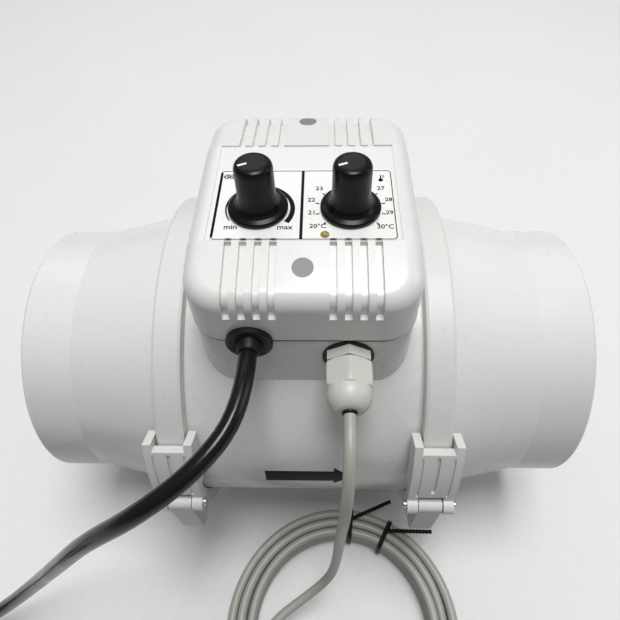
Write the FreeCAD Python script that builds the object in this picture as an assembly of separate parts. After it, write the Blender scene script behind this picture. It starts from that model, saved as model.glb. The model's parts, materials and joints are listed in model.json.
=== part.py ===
"""Inline duct fan with a terminal box: every solid of the assembly, in millimetres, +Z up."""
import FreeCAD
import Part
import math
import os

V = FreeCAD.Vector

# ---- driving dimensions --------------------------------------------------------------------
OVERALL_LENGTH = 246.0        # spigot end to spigot end
SPIGOT_RADIUS = 62.0          # outside, cylindrical end
SPIGOT_STRAIGHT = 22.0
SPIGOT_WALL = 2.3
CASING_RADIUS = 72.8
CASING_WALL = 2.5
JOINT_X = 54.5                # middle of each clamped joint
FLANGE_LIP = 2.7              # flange beyond the casing
FLANGE_THICKNESS = 2.9
GASKET_THICKNESS = 1.0
BAND_PLAY = 0.5               # band round the flanges
BAND_THICKNESS = 3.5
BAND_LIP = 1.4                # wall down each side of the flanges
BAND_SIDE_PLAY = 0.95
LEVER_PLAY = 0.8              # lever over the band
LEVER_THICKNESS = 4.3
LATCH_OVERHANG = 4.25         # lever beyond the band, each side
PIN_OUT = 5.0                 # both pins outside the band
PIVOT_FRONT_RISE = 5.0        # latch pin above the duct axis
PIN_RADIUS = 1.6
PIN_PLAY = 0.06
BAND_LIFT = 6.5               # band above the base plate's underside
BASE_MARGIN = 9.5             # base plate beyond each joint
BASE_WIDTH = 94.0
BASE_THICKNESS = 3.0
BOLT_INSET = (24.0, 11.0)     # bolt holes in from the plate's ends and sides
BOLT_HOLE = 5.5

BOX_WIDTH = 84.0
BOX_DEPTH = 106.4
BOX_X = 1.1                   # box's centre from the duct's
BOX_Y = 2.8
BOX_CORNER = 14.0
BOX_STAND = 10.2              # lid seam above the casing
LID_HEIGHT = 27.0
LID_WALL = 3.6
SEAM_GAP = (0.7, 0.8)         # groove under the lid, high and deep
MARGIN_DROP = 5.0
PANEL_INSET = (23.4, 29.6)    # panel in from the box's front and back
PANEL_SIDE = 7.5
BOX_WALL = 2.5
LID_ROUND = 7.0
SLOT_PITCH = 5.25
SLOT_WIDTH = 2.6
SLOT_DEPTH = 2.4
SLOT_GROUP_X = 18.3
SLOT_FOOT = 12.5              # slots' lower end above the seam
CAP_RADIUS = 3.75
CAP_INSET = (13.0, 7.6)
SCREW_RADIUS = 1.4

LABEL_MARGIN = (1.5, 0.3)     # label in from the panel's sides and front
LABEL_DEPTH = 38.0
LABEL_THICKNESS = 0.4
KNOB_X = 16.8
KNOB_BACK = 16.25             # knobs behind the panel's front edge
KNOB_HEIGHT = 20.3
KNOB_SKIRT = 11.0
KNOB_WALL = 0.9
KNOB_PLAY = 0.2265            # knob round the corners of its nut
KNOB_POINT = 202.0            # direction of the white line at rest, degrees
NUT_FLATS = 10.0
POT_SHAFT = 3.0
BUSH_WALL = 0.55
BUSH_PLAY = 0.15

GROMMET_X = -18.5
GROMMET_WALL = 2.6            # grommet's neck round the cord
GLAND_X = 17.5
GLAND_DROP = 11.0             # gland below the seam
GLAND_THREAD = 6.2
LENS_RADIUS = 1.65
LENS_AT = (7.5, 3.0)          # from the box's middle, behind the panel's front edge
GLAND_NECK = 5.6
LOCKNUT_FLATS = 15.0
SEAL_WALL = 1.1
MAINS_D = 6.8
SENSOR_D = 4.6
MAINS_COIL_AT = (-238.0, -180.0, 45.0)              # centre x, y, outer radius
MAINS_STACK = (3, 2, 0.6)                           # strands across and up, slack
SENSOR_COIL_AT = (18.0, -125.0, 59.0)
SENSOR_STACK = (3, 4, 0.4)

MOTOR_CUP = 37.0
CUP_WALL = 2.4
CAN_WALL = 3.6
HUB_STEP = 1.0                # impeller hub beyond the motor cup
TIP_PLAY = 2.1
SHAFT_RADIUS = 4.0
BEARING_RADIUS = 8.0
STATOR_BORE = 17.1
AIR_GAP = 0.5

# ---- what follows from them ----------------------------------------------------------------
BORE = CASING_RADIUS - CASING_WALL
FLANGE_RADIUS = CASING_RADIUS + FLANGE_LIP
BAND_INNER = FLANGE_RADIUS + BAND_PLAY
BAND_OUTER = BAND_INNER + BAND_THICKNESS
BAND_WIDTH = GASKET_THICKNESS + 2 * (FLANGE_THICKNESS + BAND_SIDE_PLAY + BAND_LIP)
LEVER_IN = BAND_OUTER + LEVER_PLAY
LEVER_OUTER = LEVER_IN + LEVER_THICKNESS
LATCH_WIDTH = BAND_WIDTH + 2 * LATCH_OVERHANG
PIVOT_FRONT_Y = -(BAND_OUTER + PIN_OUT)
PIVOT_BACK_Y = BAND_OUTER + PIN_OUT
AX = BAND_OUTER + BAND_LIFT   # duct axis above the base plate's underside
BASE_PLATE = (2 * (JOINT_X + BASE_MARGIN), BASE_WIDTH, BASE_THICKNESS)
BASE_HOLES = (BASE_PLATE[0] - 2 * BOLT_INSET[0], BASE_WIDTH - 2 * BOLT_INSET[1], BOLT_HOLE)
SEAM = AX + CASING_RADIUS + BOX_STAND
PANEL = SEAM + LID_HEIGHT
BOX_FRONT = BOX_Y - BOX_DEPTH / 2
BOX_BACK = BOX_Y + BOX_DEPTH / 2
PANEL_FRONT = BOX_FRONT + PANEL_INSET[0]
PANEL_BACK = BOX_BACK - PANEL_INSET[1]
PANEL_HALF = BOX_WIDTH / 2 - PANEL_SIDE
SLOT_LOW = SEAM + SLOT_FOOT
CAP_Y = (BOX_FRONT + CAP_INSET[0], BOX_BACK - CAP_INSET[1])
LABEL = (2 * (PANEL_HALF - LABEL_MARGIN[0]), LABEL_DEPTH, LABEL_THICKNESS)
LABEL_Y0 = PANEL_FRONT + LABEL_MARGIN[1]
KNOB_Y = PANEL_FRONT + KNOB_BACK
NUT_CORNER = NUT_FLATS / 2 / math.cos(math.pi / 6)
KNOB_BARREL = NUT_CORNER + KNOB_PLAY + KNOB_WALL
BUSH_RADIUS = POT_SHAFT + BUSH_WALL
BUSH_HOLE = BUSH_RADIUS + BUSH_PLAY
LED_X, LED_Y = BOX_X + LENS_AT[0], PANEL_FRONT + LENS_AT[1]
KNOBS = (BOX_X - KNOB_X, BOX_X + KNOB_X)
GROMMET_NECK = MAINS_D / 2 + GROMMET_WALL
GLAND_Z = SEAM - GLAND_DROP
GLAND_BORE = SENSOR_D / 2 + SEAL_WALL
MAINS_COIL = MAINS_COIL_AT + (MAINS_STACK[0] * MAINS_D + MAINS_STACK[2],
                              MAINS_STACK[1] * MAINS_D + MAINS_STACK[2])
SENSOR_COIL = SENSOR_COIL_AT + (SENSOR_STACK[0] * SENSOR_D + SENSOR_STACK[2],
                                SENSOR_STACK[1] * SENSOR_D + SENSOR_STACK[2])
CAN_RADIUS = MOTOR_CUP - CUP_WALL
STATOR_RADIUS = CAN_RADIUS - CAN_WALL
HUB_RADIUS = MOTOR_CUP + HUB_STEP
FAN_TIP = BORE - TIP_PLAY
ROTOR_RADIUS = STATOR_BORE - AIR_GAP
BOARD_HALF = BOX_WIDTH / 2 - 6.0
BOARD_Y = (CAP_Y[0] + 6.0, CAP_Y[1] - 12.6)         # between the screw posts
WIRE_X = BOX_X + BOARD_HALF - 8.0
HALF = OVERALL_LENGTH / 2.0
RECESS = PANEL - 0.6
X_AXIS, Y_AXIS, Z_AXIS = V(1, 0, 0), V(0, 1, 0), V(0, 0, 1)


# ---- small tools ---------------------------------------------------------------------------
def box(x0, x1, y0, y1, z0, z1):
    return Part.makeBox(x1 - x0, y1 - y0, z1 - z0, V(x0, y0, z0))


def tube_x(x0, x1, r_out, r_in=0.0, y=0.0, z=None):
    at = V(x0, y, AX if z is None else z)
    shape = Part.makeCylinder(r_out, x1 - x0, at, X_AXIS)
    if r_in > 0:
        shape = shape.cut(Part.makeCylinder(r_in, x1 - x0 + 2, at - X_AXIS, X_AXIS))
    return shape


def cyl_y(x, z, y0, y1, r):
    return Part.makeCylinder(r, abs(y1 - y0), V(x, y0, z), V(0, 1 if y1 > y0 else -1, 0))


def cyl_z(x, y, z0, z1, r):
    return Part.makeCylinder(r, z1 - z0, V(x, y, z0))


def turned(points, base, axis):
    """Revolve (along, radius) pairs about an axis through base."""
    side = Z_AXIS if abs(axis.z) < 0.5 else X_AXIS
    wire = Part.makePolygon([base + axis * a + side * r for a, r in points + points[:1]])
    return Part.Face(wire).revolve(base, axis, 360)


def prism_x(points, x0, x1):
    """Extrude a (y, z) outline, z from the floor, along X."""
    wire = Part.makePolygon([V(x0, y, z) for y, z in points + points[:1]])
    return Part.Face(wire).extrude(V(x1 - x0, 0, 0))


def hexagon(centre, axis, flats, length):
    side = Z_AXIS if abs(axis.z) < 0.5 else X_AXIS
    other = axis.cross(side)
    r = flats / 2.0 / math.cos(math.pi / 6)
    pts = []
    for k in range(7):
        a = math.pi / 3 * k
        pts.append(centre + side * (r * math.cos(a)) + other * (r * math.sin(a)))
    return Part.Face(Part.makePolygon(pts)).extrude(axis * length)


def rounded_block(width, depth, corner, z0, z1):
    block = box(-width / 2, width / 2, -depth / 2, depth / 2, z0, z1)
    upright = [e for e in block.Edges if abs(e.tangentAt(e.FirstParameter).z) > 0.99]
    return block.makeFillet(corner, upright)


def polar(radius, degrees):
    """Point about the duct axis: 0 is the back, 90 the top, 180 the front."""
    a = math.radians(degrees)
    return radius * math.cos(a), AX + radius * math.sin(a)


def sector(x0, x1, r_in, r_out, start, end):
    """Part of a ring about the duct axis between two angles."""
    n = max(2, int((end - start) / 30.0) + 1)
    far = r_out * 1.6
    pts = [(0.0, AX)] + [polar(far, start + (end - start) * k / n) for k in range(n + 1)]
    return tube_x(x0, x1, r_out, r_in).common(prism_x(pts, x0 - 1, x1 + 1))


def ways(count, shape):
    turned_copies = []
    for k in range(count):
        copy = shape.copy()
        copy.rotate(V(0, 0, AX), X_AXIS, 360.0 / count * k)
        turned_copies.append(copy)
    return turned_copies


def join(shapes):
    first = shapes[0]
    return first.multiFuse(shapes[1:]).removeSplitter() if len(shapes) > 1 else first


def mirrored(shape):
    return shape.mirror(V(0, 0, 0), X_AXIS)


# ---- duct ----------------------------------------------------------------------------------
CONE_START = HALF - SPIGOT_STRAIGHT
GAP = GASKET_THICKNESS / 2
FLANGE_X = JOINT_X + GAP + FLANGE_THICKNESS
CONE_RADIUS = CASING_RADIUS - 1.3


def outlet_spigot():
    """Flange, cone and straight end, on the +X side."""
    w = SPIGOT_WALL
    outline = [(JOINT_X + GAP, BORE), (JOINT_X + GAP, FLANGE_RADIUS), (FLANGE_X, FLANGE_RADIUS),
               (FLANGE_X, CONE_RADIUS), (CONE_START, SPIGOT_RADIUS), (HALF - 1.0, SPIGOT_RADIUS),
               (HALF, SPIGOT_RADIUS - 0.8), (HALF, SPIGOT_RADIUS - w), (CONE_START, SPIGOT_RADIUS - w),
               (FLANGE_X + 2, BORE - 1.4)]
    return turned(outline, V(0, 0, AX), X_AXIS)


def centre_casing():
    inner = JOINT_X - GAP
    f = FLANGE_THICKNESS
    outline = [(-inner, BORE), (-inner, FLANGE_RADIUS), (-inner + f, FLANGE_RADIUS),
               (-inner + f, CASING_RADIUS), (inner - f, CASING_RADIUS), (inner - f, FLANGE_RADIUS),
               (inner, FLANGE_RADIUS), (inner, BORE)]
    return turned(outline, V(0, 0, AX), X_AXIS).cut(cyl_z(WIRE_X, 0, AX, SEAM, 4.0))


def gasket():
    return tube_x(JOINT_X - GAP, JOINT_X + GAP, FLANGE_RADIUS - 0.5, BORE + 0.8)


# ---- mounting bracket, straps and latches (right-hand set; the left is mirrored) ---------------
B0, B1 = JOINT_X - BAND_WIDTH / 2, JOINT_X + BAND_WIDTH / 2
L0, L1 = JOINT_X - LATCH_WIDTH / 2, JOINT_X + LATCH_WIDTH / 2
PFY, PFZ = PIVOT_FRONT_Y, AX + PIVOT_FRONT_RISE
PBY, PBZ = PIVOT_BACK_Y, AX
TONGUE = (JOINT_X - 5.0, JOINT_X + 5.0)


def band(start, end):
    """A channel-shaped band: web outside and a lip down each side of the flanges."""
    body = sector(B0, B1, BAND_INNER, BAND_OUTER, start, end)
    lips = [sector(B0, B0 + BAND_LIP, CASING_RADIUS + 0.7, BAND_OUTER, start, end),
            sector(B1 - BAND_LIP, B1, CASING_RADIUS + 0.7, BAND_OUTER, start, end)]
    rounded = join([body] + lips)
    chamfer = 1.1
    for x, side in ((B0, -1), (B1, 1)):
        ring = turned([(x + side, BAND_OUTER - chamfer), (x - side * chamfer, BAND_OUTER),
                       (x - side * chamfer, BAND_OUTER + 2), (x + side, BAND_OUTER + 2)],
                      V(0, 0, AX), X_AXIS)
        rounded = rounded.cut(ring)
    return rounded


STRAP_FRONT = 170.0
CATCH = 154.6                  # where the ridge on the strap starts, degrees
CATCH_TOP = BAND_OUTER + 2.6
CATCH_FOOT = BAND_OUTER - 1.5
CATCH_SLOPE = 3.45 / 4.1       # degrees of ramp for each millimetre of height
CATCH_PLAY = 0.56              # degrees between the lever's tooth and the ramp


def ramp(radius):
    """Angle of the catch ridge's sloped face at a radius."""
    return CATCH - 0.85 + (radius - CATCH_FOOT) * CATCH_SLOPE


def clamp_strap():
    """Upper half of the clamp, from the pin at the back to the lip at the front."""
    strap = band(0.5, STRAP_FRONT)
    top = ramp(CATCH_TOP)
    ridge_pts = [polar(CATCH_FOOT, ramp(CATCH_FOOT)), polar(CATCH_TOP, top),
                 polar(CATCH_TOP, top + 1.6), polar(CATCH_FOOT, top + 2.9)]
    ridge = prism_x(ridge_pts, JOINT_X - 3.4, JOINT_X + 3.4)
    knuckle = tube_x(JOINT_X - 3.0, JOINT_X + 3.0, 4.4, y=PBY, z=PBZ)
    neck = prism_x([(BAND_OUTER - 2.2, PBZ + 0.6), (PBY, PBZ + 0.6), (PBY, PBZ + 4.4),
                    (polar(BAND_OUTER - 1, 9)[0], polar(BAND_OUTER - 1, 9)[1])],
                   JOINT_X - 3.0, JOINT_X + 3.0)
    bore = tube_x(JOINT_X - 4, JOINT_X + 4, PIN_RADIUS + PIN_PLAY, y=PBY, z=PBZ)
    return join([strap, ridge, knuckle, neck]).cut(bore)


LEVER_TOP = 150.5


def latch_lever():
    """Hooked lever: U-notch and tooth at the top, two cheeks round the bracket's tongue."""
    foot = math.degrees(math.atan2(PFZ - AX, PFY))
    plate = sector(L0, L1, LEVER_IN, LEVER_OUTER, LEVER_TOP, foot + 2.0)
    cheeks = [sector(L0, B0 - 0.9, CASING_RADIUS + 2.2, LEVER_OUTER, LEVER_TOP, foot - 6.0),
              sector(B1 + 0.9, L1, CASING_RADIUS + 2.2, LEVER_OUTER, LEVER_TOP, foot - 6.0)]
    notch = sector(B0 - 0.9, B1 + 0.9, LEVER_IN - 1, LEVER_OUTER + 2, LEVER_TOP - 2, LEVER_TOP + 2.6)
    r0, r1 = LEVER_IN - 1.0, CATCH_TOP + 0.6
    catch_room = prism_x([polar(r0, ramp(r0) - CATCH_PLAY), polar(r1, ramp(r1) - CATCH_PLAY),
                          polar(r1, CATCH + 6.5), polar(r0, CATCH + 6.5)], JOINT_X - 4.2, JOINT_X + 4.2)
    tongue_room = sector(TONGUE[0] - 0.5, TONGUE[1] + 0.5, LEVER_IN - 1, LEVER_OUTER + 3,
                         foot - 4.6, foot + 8.0)
    slot = sector(JOINT_X - 0.8, JOINT_X + 0.8, LEVER_OUTER - 1.1, LEVER_OUTER + 2,
                  LEVER_TOP + 3.6, foot - 7.0)
    grooves = [sector(JOINT_X + s * 6.4 - 0.5, JOINT_X + s * 6.4 + 0.5, LEVER_OUTER - 0.7,
                      LEVER_OUTER + 2, LEVER_TOP + 4, foot - 5.0) for s in (-1, 1)]
    ears = [tube_x(L0, TONGUE[0] - 0.5, 3.9, y=PFY, z=PFZ),
            tube_x(TONGUE[1] + 0.5, L1, 3.9, y=PFY, z=PFZ)]
    lever = join([plate] + cheeks).cut(join([notch, catch_room])).cut(tongue_room)
    lever = lever.cut(slot).cut(join(grooves))
    lever = join([lever] + ears)
    return lever.cut(tube_x(L0 - 1, L1 + 1, PIN_RADIUS, y=PFY, z=PFZ))


def cradle():
    """Lower half of one clamp ring with its web, tongue and back ears."""
    t0, t1 = TONGUE
    ring = band(180.5, 359.5)
    half = BASE_PLATE[1] / 2
    y_side, z_side = polar(BAND_OUTER - 1, 212)
    web = prism_x([(-half, 0.5), (half, 0.5), (-y_side, z_side), (y_side, z_side)],
                  JOINT_X - 2.5, JOINT_X + 2.5).cut(tube_x(B0 - 9, B1 + 9, BAND_INNER + 1))
    windows = [prism_x([(s * 30, 9.0), (s * 42, 9.0), (s * 56, AX - 62), (s * 48, AX - 66)],
                       JOINT_X - 4, JOINT_X + 4) for s in (-1, 1)]
    web = web.cut(join(windows))
    post_front = prism_x([(-BAND_OUTER + 2.5, AX - 1), (-BAND_OUTER + 6, AX - 27), (PFY + 2, AX - 29),
                          (PFY - 2.6, AX - 25), (PFY - 3.2, PFZ), (PFY + 3.2, PFZ)], t0, t1)
    front_eye = tube_x(t0, t1, 3.3, y=PFY, z=PFZ)
    front = join([post_front, front_eye]).cut(tube_x(B0, B1, BAND_OUTER - 1.2))
    front = front.cut(sector(t0 - 1, t1 + 1, 60, LEVER_IN, 150, 179.5))
    back_ears = []
    for x0, x1 in ((JOINT_X - 6.0, JOINT_X - 3.3), (JOINT_X + 3.3, JOINT_X + 6.0)):
        ear = prism_x([(BAND_OUTER - 2.5, AX - 1), (BAND_OUTER - 6, AX - 24), (PBY + 1, AX - 22),
                       (PBY + 3.6, PBZ - 2), (PBY + 3.6, PBZ), (PBY - 4.2, PBZ), (PBY - 4.2, PBZ - 1)],
                      x0, x1)
        eye = tube_x(x0, x1, 3.8, y=PBY, z=PBZ)
        back_ears.append(join([ear, eye]).cut(tube_x(x0 - 1, x1 + 1, BAND_OUTER - 1.2)))
    back = join(back_ears).cut(sector(B0 - 2, B1 + 2, 60, BAND_OUTER + 0.8, 0.0, 20))
    whole = join([ring, web, front, back])
    pins = [tube_x(L0 - 1, L1 + 1, PIN_RADIUS + PIN_PLAY, y=PFY, z=PFZ),
            tube_x(L0 - 1, L1 + 1, PIN_RADIUS, y=PBY, z=PBZ)]
    return whole.cut(pins[0]).cut(pins[1])


def mounting_bracket():
    length, width, thick = BASE_PLATE
    plate = rounded_block(length, width, 8.0, 0, thick)
    plate = plate.cut(rounded_block(BASE_HOLES[0] - 26, width - 34, 8.0, -1, thick + 1))
    for sx in (-1, 1):
        for sy in (-1, 1):
            plate = plate.cut(cyl_z(sx * BASE_HOLES[0] / 2, sy * BASE_HOLES[1] / 2, -1, thick + 1,
                                    BASE_HOLES[2] / 2))
    ribs = [box(-JOINT_X, JOINT_X, s * (width / 2 - 6) - 1.5, s * (width / 2 - 6) + 1.5,
                thick - 0.5, thick + 5) for s in (-1, 1)]
    right = cradle()
    return join([plate, right, mirrored(right)] + ribs)


def latch_pin():
    return tube_x(L0 - 1.2, L1 + 1.2, PIN_RADIUS, y=PFY, z=PFZ)


def strap_pin():
    return join([tube_x(JOINT_X - 6.4, JOINT_X + 6.4, PIN_RADIUS, y=PBY, z=PBZ),
                 tube_x(JOINT_X - 7.6, JOINT_X - 6.0, PIN_RADIUS + 0.9, y=PBY, z=PBZ)])


# ---- terminal box --------------------------------------------------------------------------
HALF_W = BOX_WIDTH / 2


def box_block(inset, corner, z0, z1):
    """Rounded block about the box's middle, in from the lid's sides all round."""
    block = rounded_block(BOX_WIDTH - 2 * inset, BOX_DEPTH - 2 * inset, corner, z0, z1)
    block.translate(V(BOX_X, BOX_Y, 0))
    return block


def lid_form(inset, low):
    """The lid's form, in from its skin all round, with the rim rounded."""
    top = PANEL - inset
    y0, y1, eave = BOX_FRONT + inset, BOX_BACK - inset, top - MARGIN_DROP
    section = [(y0, low), (y0, eave), (PANEL_FRONT, top), (PANEL_BACK, top), (y1, eave), (y1, low)]
    block = box_block(inset, BOX_CORNER - inset, low, PANEL + 1)
    block = block.common(prism_x(section, BOX_X - HALF_W - 1, BOX_X + HALF_W + 1))
    rim = []
    for edge in block.Edges:
        beside = [f for f in block.Faces if any(edge.isSame(e) for e in f.Edges)]
        upright = any(abs(f.normalAt(*[sum(f.ParameterRange[k:k + 2]) / 2 for k in (0, 2)]).z) < 0.01
                      for f in beside)
        if upright and edge.BoundBox.ZMin > eave - 1.5:
            rim.append(edge)
    return block.makeFillet(LID_ROUND - inset, rim)


def slot_centres():
    return [BOX_X + g * SLOT_GROUP_X + (k - 1.5) * SLOT_PITCH for g in (-1, 1) for k in range(4)]


def vent_slots():
    """Grooves that run off the panel, over the shoulder and down the face, front and back."""
    core = lid_form(SLOT_DEPTH, SEAM - 1)
    tools = []
    for x in slot_centres():
        for y0, y1 in ((BOX_FRONT - 3, PANEL_FRONT), (PANEL_BACK, BOX_BACK + 3)):
            zone = box(x - SLOT_WIDTH / 2, x + SLOT_WIDTH / 2, y0, y1, SLOT_LOW, PANEL + 3)
            tools.append(zone.cut(core))
    return tools


def box_lid():
    outer = lid_form(0.0, SEAM)
    lid = outer.cut(lid_form(LID_WALL, SEAM - 1))
    posts = [cyl_z(BOX_X, y, SEAM, PANEL - 3.0, 5.4).common(outer) for y in CAP_Y]
    lid = join([lid] + posts)
    recess = box(BOX_X - PANEL_HALF, BOX_X + PANEL_HALF, PANEL_FRONT, PANEL_BACK, RECESS, PANEL + 2)
    cuts = [recess] + vent_slots()
    for y in CAP_Y:
        cuts.append(cyl_z(BOX_X, y, SEAM - 1, PANEL + 1, SCREW_RADIUS + 0.4))
        cuts.append(cyl_z(BOX_X, y, SCREW_SEAT, PANEL + 1, CAP_RADIUS))
    for x in KNOBS:
        cuts.append(cyl_z(x, KNOB_Y, PANEL - 8, PANEL + 1, BUSH_HOLE))
    cuts.append(cyl_z(LED_X, LED_Y, PANEL - 8, PANEL + 1, LENS_RADIUS))
    cuts.append(cyl_y(GROMMET_X, SEAM, BOX_FRONT - 2, BOX_FRONT + 12, GROMMET_NECK))
    return lid.cut(Part.makeCompound(cuts))


SCREW_SEAT = SEAM + 8.0
BASE_STEP = 0.5               # base in from the lid
BASE_FACE = BOX_FRONT + BASE_STEP


def screw_caps():
    shapes = []
    skin = lid_form(0.0, SEAM)
    skin.translate(V(0, 0, -0.15))
    for y in CAP_Y:
        z = PANEL - MARGIN_DROP - 5.0
        shapes.append(cyl_z(BOX_X, y, z, PANEL + 2, CAP_RADIUS).common(skin))
    return Part.makeCompound(shapes)


def lid_screws():
    shapes = []
    for y in CAP_Y:
        shaft = cyl_z(BOX_X, y, SEAM - 10.0, SCREW_SEAT, SCREW_RADIUS)
        head = cyl_z(BOX_X, y, SCREW_SEAT, SCREW_SEAT + 2.2, 3.2)
        head = head.cut(box(BOX_X - 3.5, BOX_X + 3.5, y - 0.4, y + 0.4, SCREW_SEAT + 1.2, SCREW_SEAT + 3))
        shapes.append(join([shaft, head]))
    return Part.makeCompound(shapes)


def terminal_box_base():
    far = max(-BASE_FACE, BOX_BACK - BASE_STEP)
    low = AX + math.sqrt(CASING_RADIUS ** 2 - far ** 2) - 4.0
    shell = box_block(BASE_STEP, BOX_CORNER - BASE_STEP, low, SEAM)
    inner = BASE_STEP + BOX_WALL
    cavity = box_block(inner, BOX_CORNER - inner, low - 1, SEAM + 1)
    cavity = cavity.cut(tube_x(BOX_X - HALF_W, BOX_X + HALF_W, CASING_RADIUS + BOX_WALL))
    high, deep = SEAM_GAP
    groove = box_block(0, BOX_CORNER, SEAM - high, SEAM)
    deep += BASE_STEP
    groove = groove.cut(box_block(deep, BOX_CORNER - deep, SEAM - high - 1, SEAM + 1))
    base = shell.cut(cavity).cut(groove)
    posts = [cyl_z(BOX_X, y, low, SEAM, 4.2) for y in CAP_Y]
    posts += [cyl_z(BOX_X + sx * (BOARD_HALF - 5), y, low, BOARD_Z, 3.2)
              for sx in (-1, 1) for y in (BOARD_Y[0] + 4, BOARD_Y[1] - 6)]
    base = join([base] + posts).cut(tube_x(BOX_X - HALF_W - 1, BOX_X + HALF_W + 1, CASING_RADIUS))
    cuts = [cyl_z(BOX_X, y, SEAM - 10.0, SEAM + 1, SCREW_RADIUS) for y in CAP_Y]
    cuts.append(cyl_z(WIRE_X, 0, AX + 60, SEAM + 1, 4.0))
    cuts.append(cyl_y(GROMMET_X, SEAM, BOX_FRONT - 2, BOX_FRONT + 8, GROMMET_NECK))
    cuts.append(cyl_y(GLAND_X, GLAND_Z, BOX_FRONT - 2, BOX_FRONT + 8, GLAND_THREAD))
    inside = BASE_FACE + BOX_WALL
    cuts.append(cyl_y(GLAND_X, GLAND_Z, inside, inside + 3.8, LOCKNUT_FLATS / math.sqrt(3) + 0.4))
    return base.cut(Part.makeCompound(cuts))


BOARD_Z = AX + CASING_RADIUS + BOX_WALL + 3.5
BOARD_T = 1.6


def circuit_board():
    board = box(BOX_X - BOARD_HALF, BOX_X + BOARD_HALF, BOARD_Y[0], BOARD_Y[1], BOARD_Z, BOARD_Z + BOARD_T)
    return board.cut(cyl_z(WIRE_X, 0, BOARD_Z - 1, BOARD_Z + 3, 4.0))


def triac_heatsink():
    z = BOARD_Z + BOARD_T
    x = BOX_X + 2.0 - BOARD_HALF
    y0, y1 = BOARD_Y[1] - 24, BOARD_Y[1] - 6
    fins = [box(x + k * 3.2, x + 1.4 + k * 3.2, y0, y1, z + 2, z + 15) for k in range(6)]
    return join([box(x, x + 17.4, y0, y1, z, z + 2.4)] + fins)


def capacitor():
    z = BOARD_Z + BOARD_T + 7.0
    y = BOARD_Y[1] - 24
    can = Part.makeCylinder(7.0, 22.0, V(2, y, z), Y_AXIS)
    return join([can, Part.makeCylinder(5.6, 1.6, V(2, y - 1.6, z), Y_AXIS)])


def terminal_block():
    z = BOARD_Z + BOARD_T
    x0 = BOX_X + BOARD_HALF - 20.0
    y = BOARD_Y[1] - 12
    block = box(x0, x0 + 18, y - 6, y + 6, z, z + 11)
    for k in range(3):
        x = x0 + 3 + 6 * k
        block = block.cut(cyl_z(x, y, z + 7, z + 12, 1.9)).cut(cyl_y(x, z + 4, y - 8, y - 1, 1.7))
    return block


POT_LOW = PANEL - 12.2
POT_TOP = PANEL - 3.6
BUSH_TOP = PANEL + 3.6


def potentiometer(x):
    body = join([cyl_z(x, KNOB_Y, POT_LOW, POT_TOP, 8.0),
                 cyl_z(x, KNOB_Y, POT_TOP - 1, BUSH_TOP, BUSH_RADIUS)])
    pins = [cyl_z(x + k * 5.0, KNOB_Y + 6.0 - abs(k), BOARD_Z + BOARD_T, POT_LOW + 1, 0.6)
            for k in (-1, 0, 1)]
    return join([body] + pins).cut(cyl_z(x, KNOB_Y, POT_LOW + 1.5, BUSH_TOP + 1, POT_SHAFT + 0.06))


def pot_nuts():
    z = RECESS + LABEL[2]
    nuts = []
    for x in KNOBS:
        nut = hexagon(V(x, KNOB_Y, z), Z_AXIS, NUT_FLATS, 1.8)
        nuts.append(nut.cut(cyl_z(x, KNOB_Y, z - 1, z + 3, BUSH_RADIUS)))
    return Part.makeCompound(nuts)


def pot_shaft(x):
    return cyl_z(x, KNOB_Y, POT_LOW + 1.7, KNOB_Z + KNOB_HEIGHT - 5.0, POT_SHAFT)


KNOB_Z = PANEL + 0.2


def knob(x):
    h, s, b = KNOB_HEIGHT, KNOB_SKIRT, KNOB_BARREL
    outline = [(0, 0), (0, s - 0.4), (0.4, s), (1.0, s), (1.5, s - 0.5), (2.1, b + 2.1), (2.9, b + 1.2),
               (4.0, b + 0.6), (5.6, b + 0.2), (7.6, b), (h - 2.4, b - 0.1), (h - 1.3, b - 0.4),
               (h - 0.6, b - 0.95), (h - 0.2, b - 1.7), (h, b - 2.7), (h, 0)]
    body = turned(outline, V(x, KNOB_Y, KNOB_Z), Z_AXIS)
    body = body.cut(cyl_z(x, KNOB_Y, KNOB_Z - 1, KNOB_Z + 1.3, s - 1.9))
    body = body.cut(cyl_z(x, KNOB_Y, KNOB_Z - 1, KNOB_Z + 4.2, b - KNOB_WALL))
    body = body.cut(cyl_z(x, KNOB_Y, KNOB_Z, KNOB_Z + h - 5.0, POT_SHAFT))
    return body.cut(pointer(x))


def pointer(x):
    z = KNOB_Z + KNOB_HEIGHT
    mark = box(x + 2.0, x + KNOB_BARREL - 1.75, KNOB_Y - 0.45, KNOB_Y + 0.45, z - 0.5, z + 0.08)
    mark.rotate(V(x, KNOB_Y, 0), Z_AXIS, KNOB_POINT)
    return mark


def control_label():
    w, d, t = LABEL
    plate = box(BOX_X - w / 2, BOX_X + w / 2, LABEL_Y0, LABEL_Y0 + d, RECESS, RECESS + t)
    upright = [e for e in plate.Edges if abs(e.tangentAt(e.FirstParameter).z) > 0.99]
    plate = plate.makeFillet(1.2, upright)
    for x in KNOBS:
        plate = plate.cut(cyl_z(x, KNOB_Y, RECESS - 1, PANEL, BUSH_HOLE))
    return plate.cut(cyl_z(LED_X, LED_Y, RECESS - 1, PANEL, LENS_RADIUS))


def indicator_lens():
    stem = cyl_z(LED_X, LED_Y, PANEL - 6.0, PANEL - 0.1, LENS_RADIUS)
    dome = Part.makeSphere(LENS_RADIUS, V(LED_X, LED_Y, PANEL - 0.6))
    return join([stem, dome])


# ---- cable entries -------------------------------------------------------------------------
FACE = BOX_FRONT
MAINS_EXIT = FACE - 6.0
GLAND_END = FACE - 24.0


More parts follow.
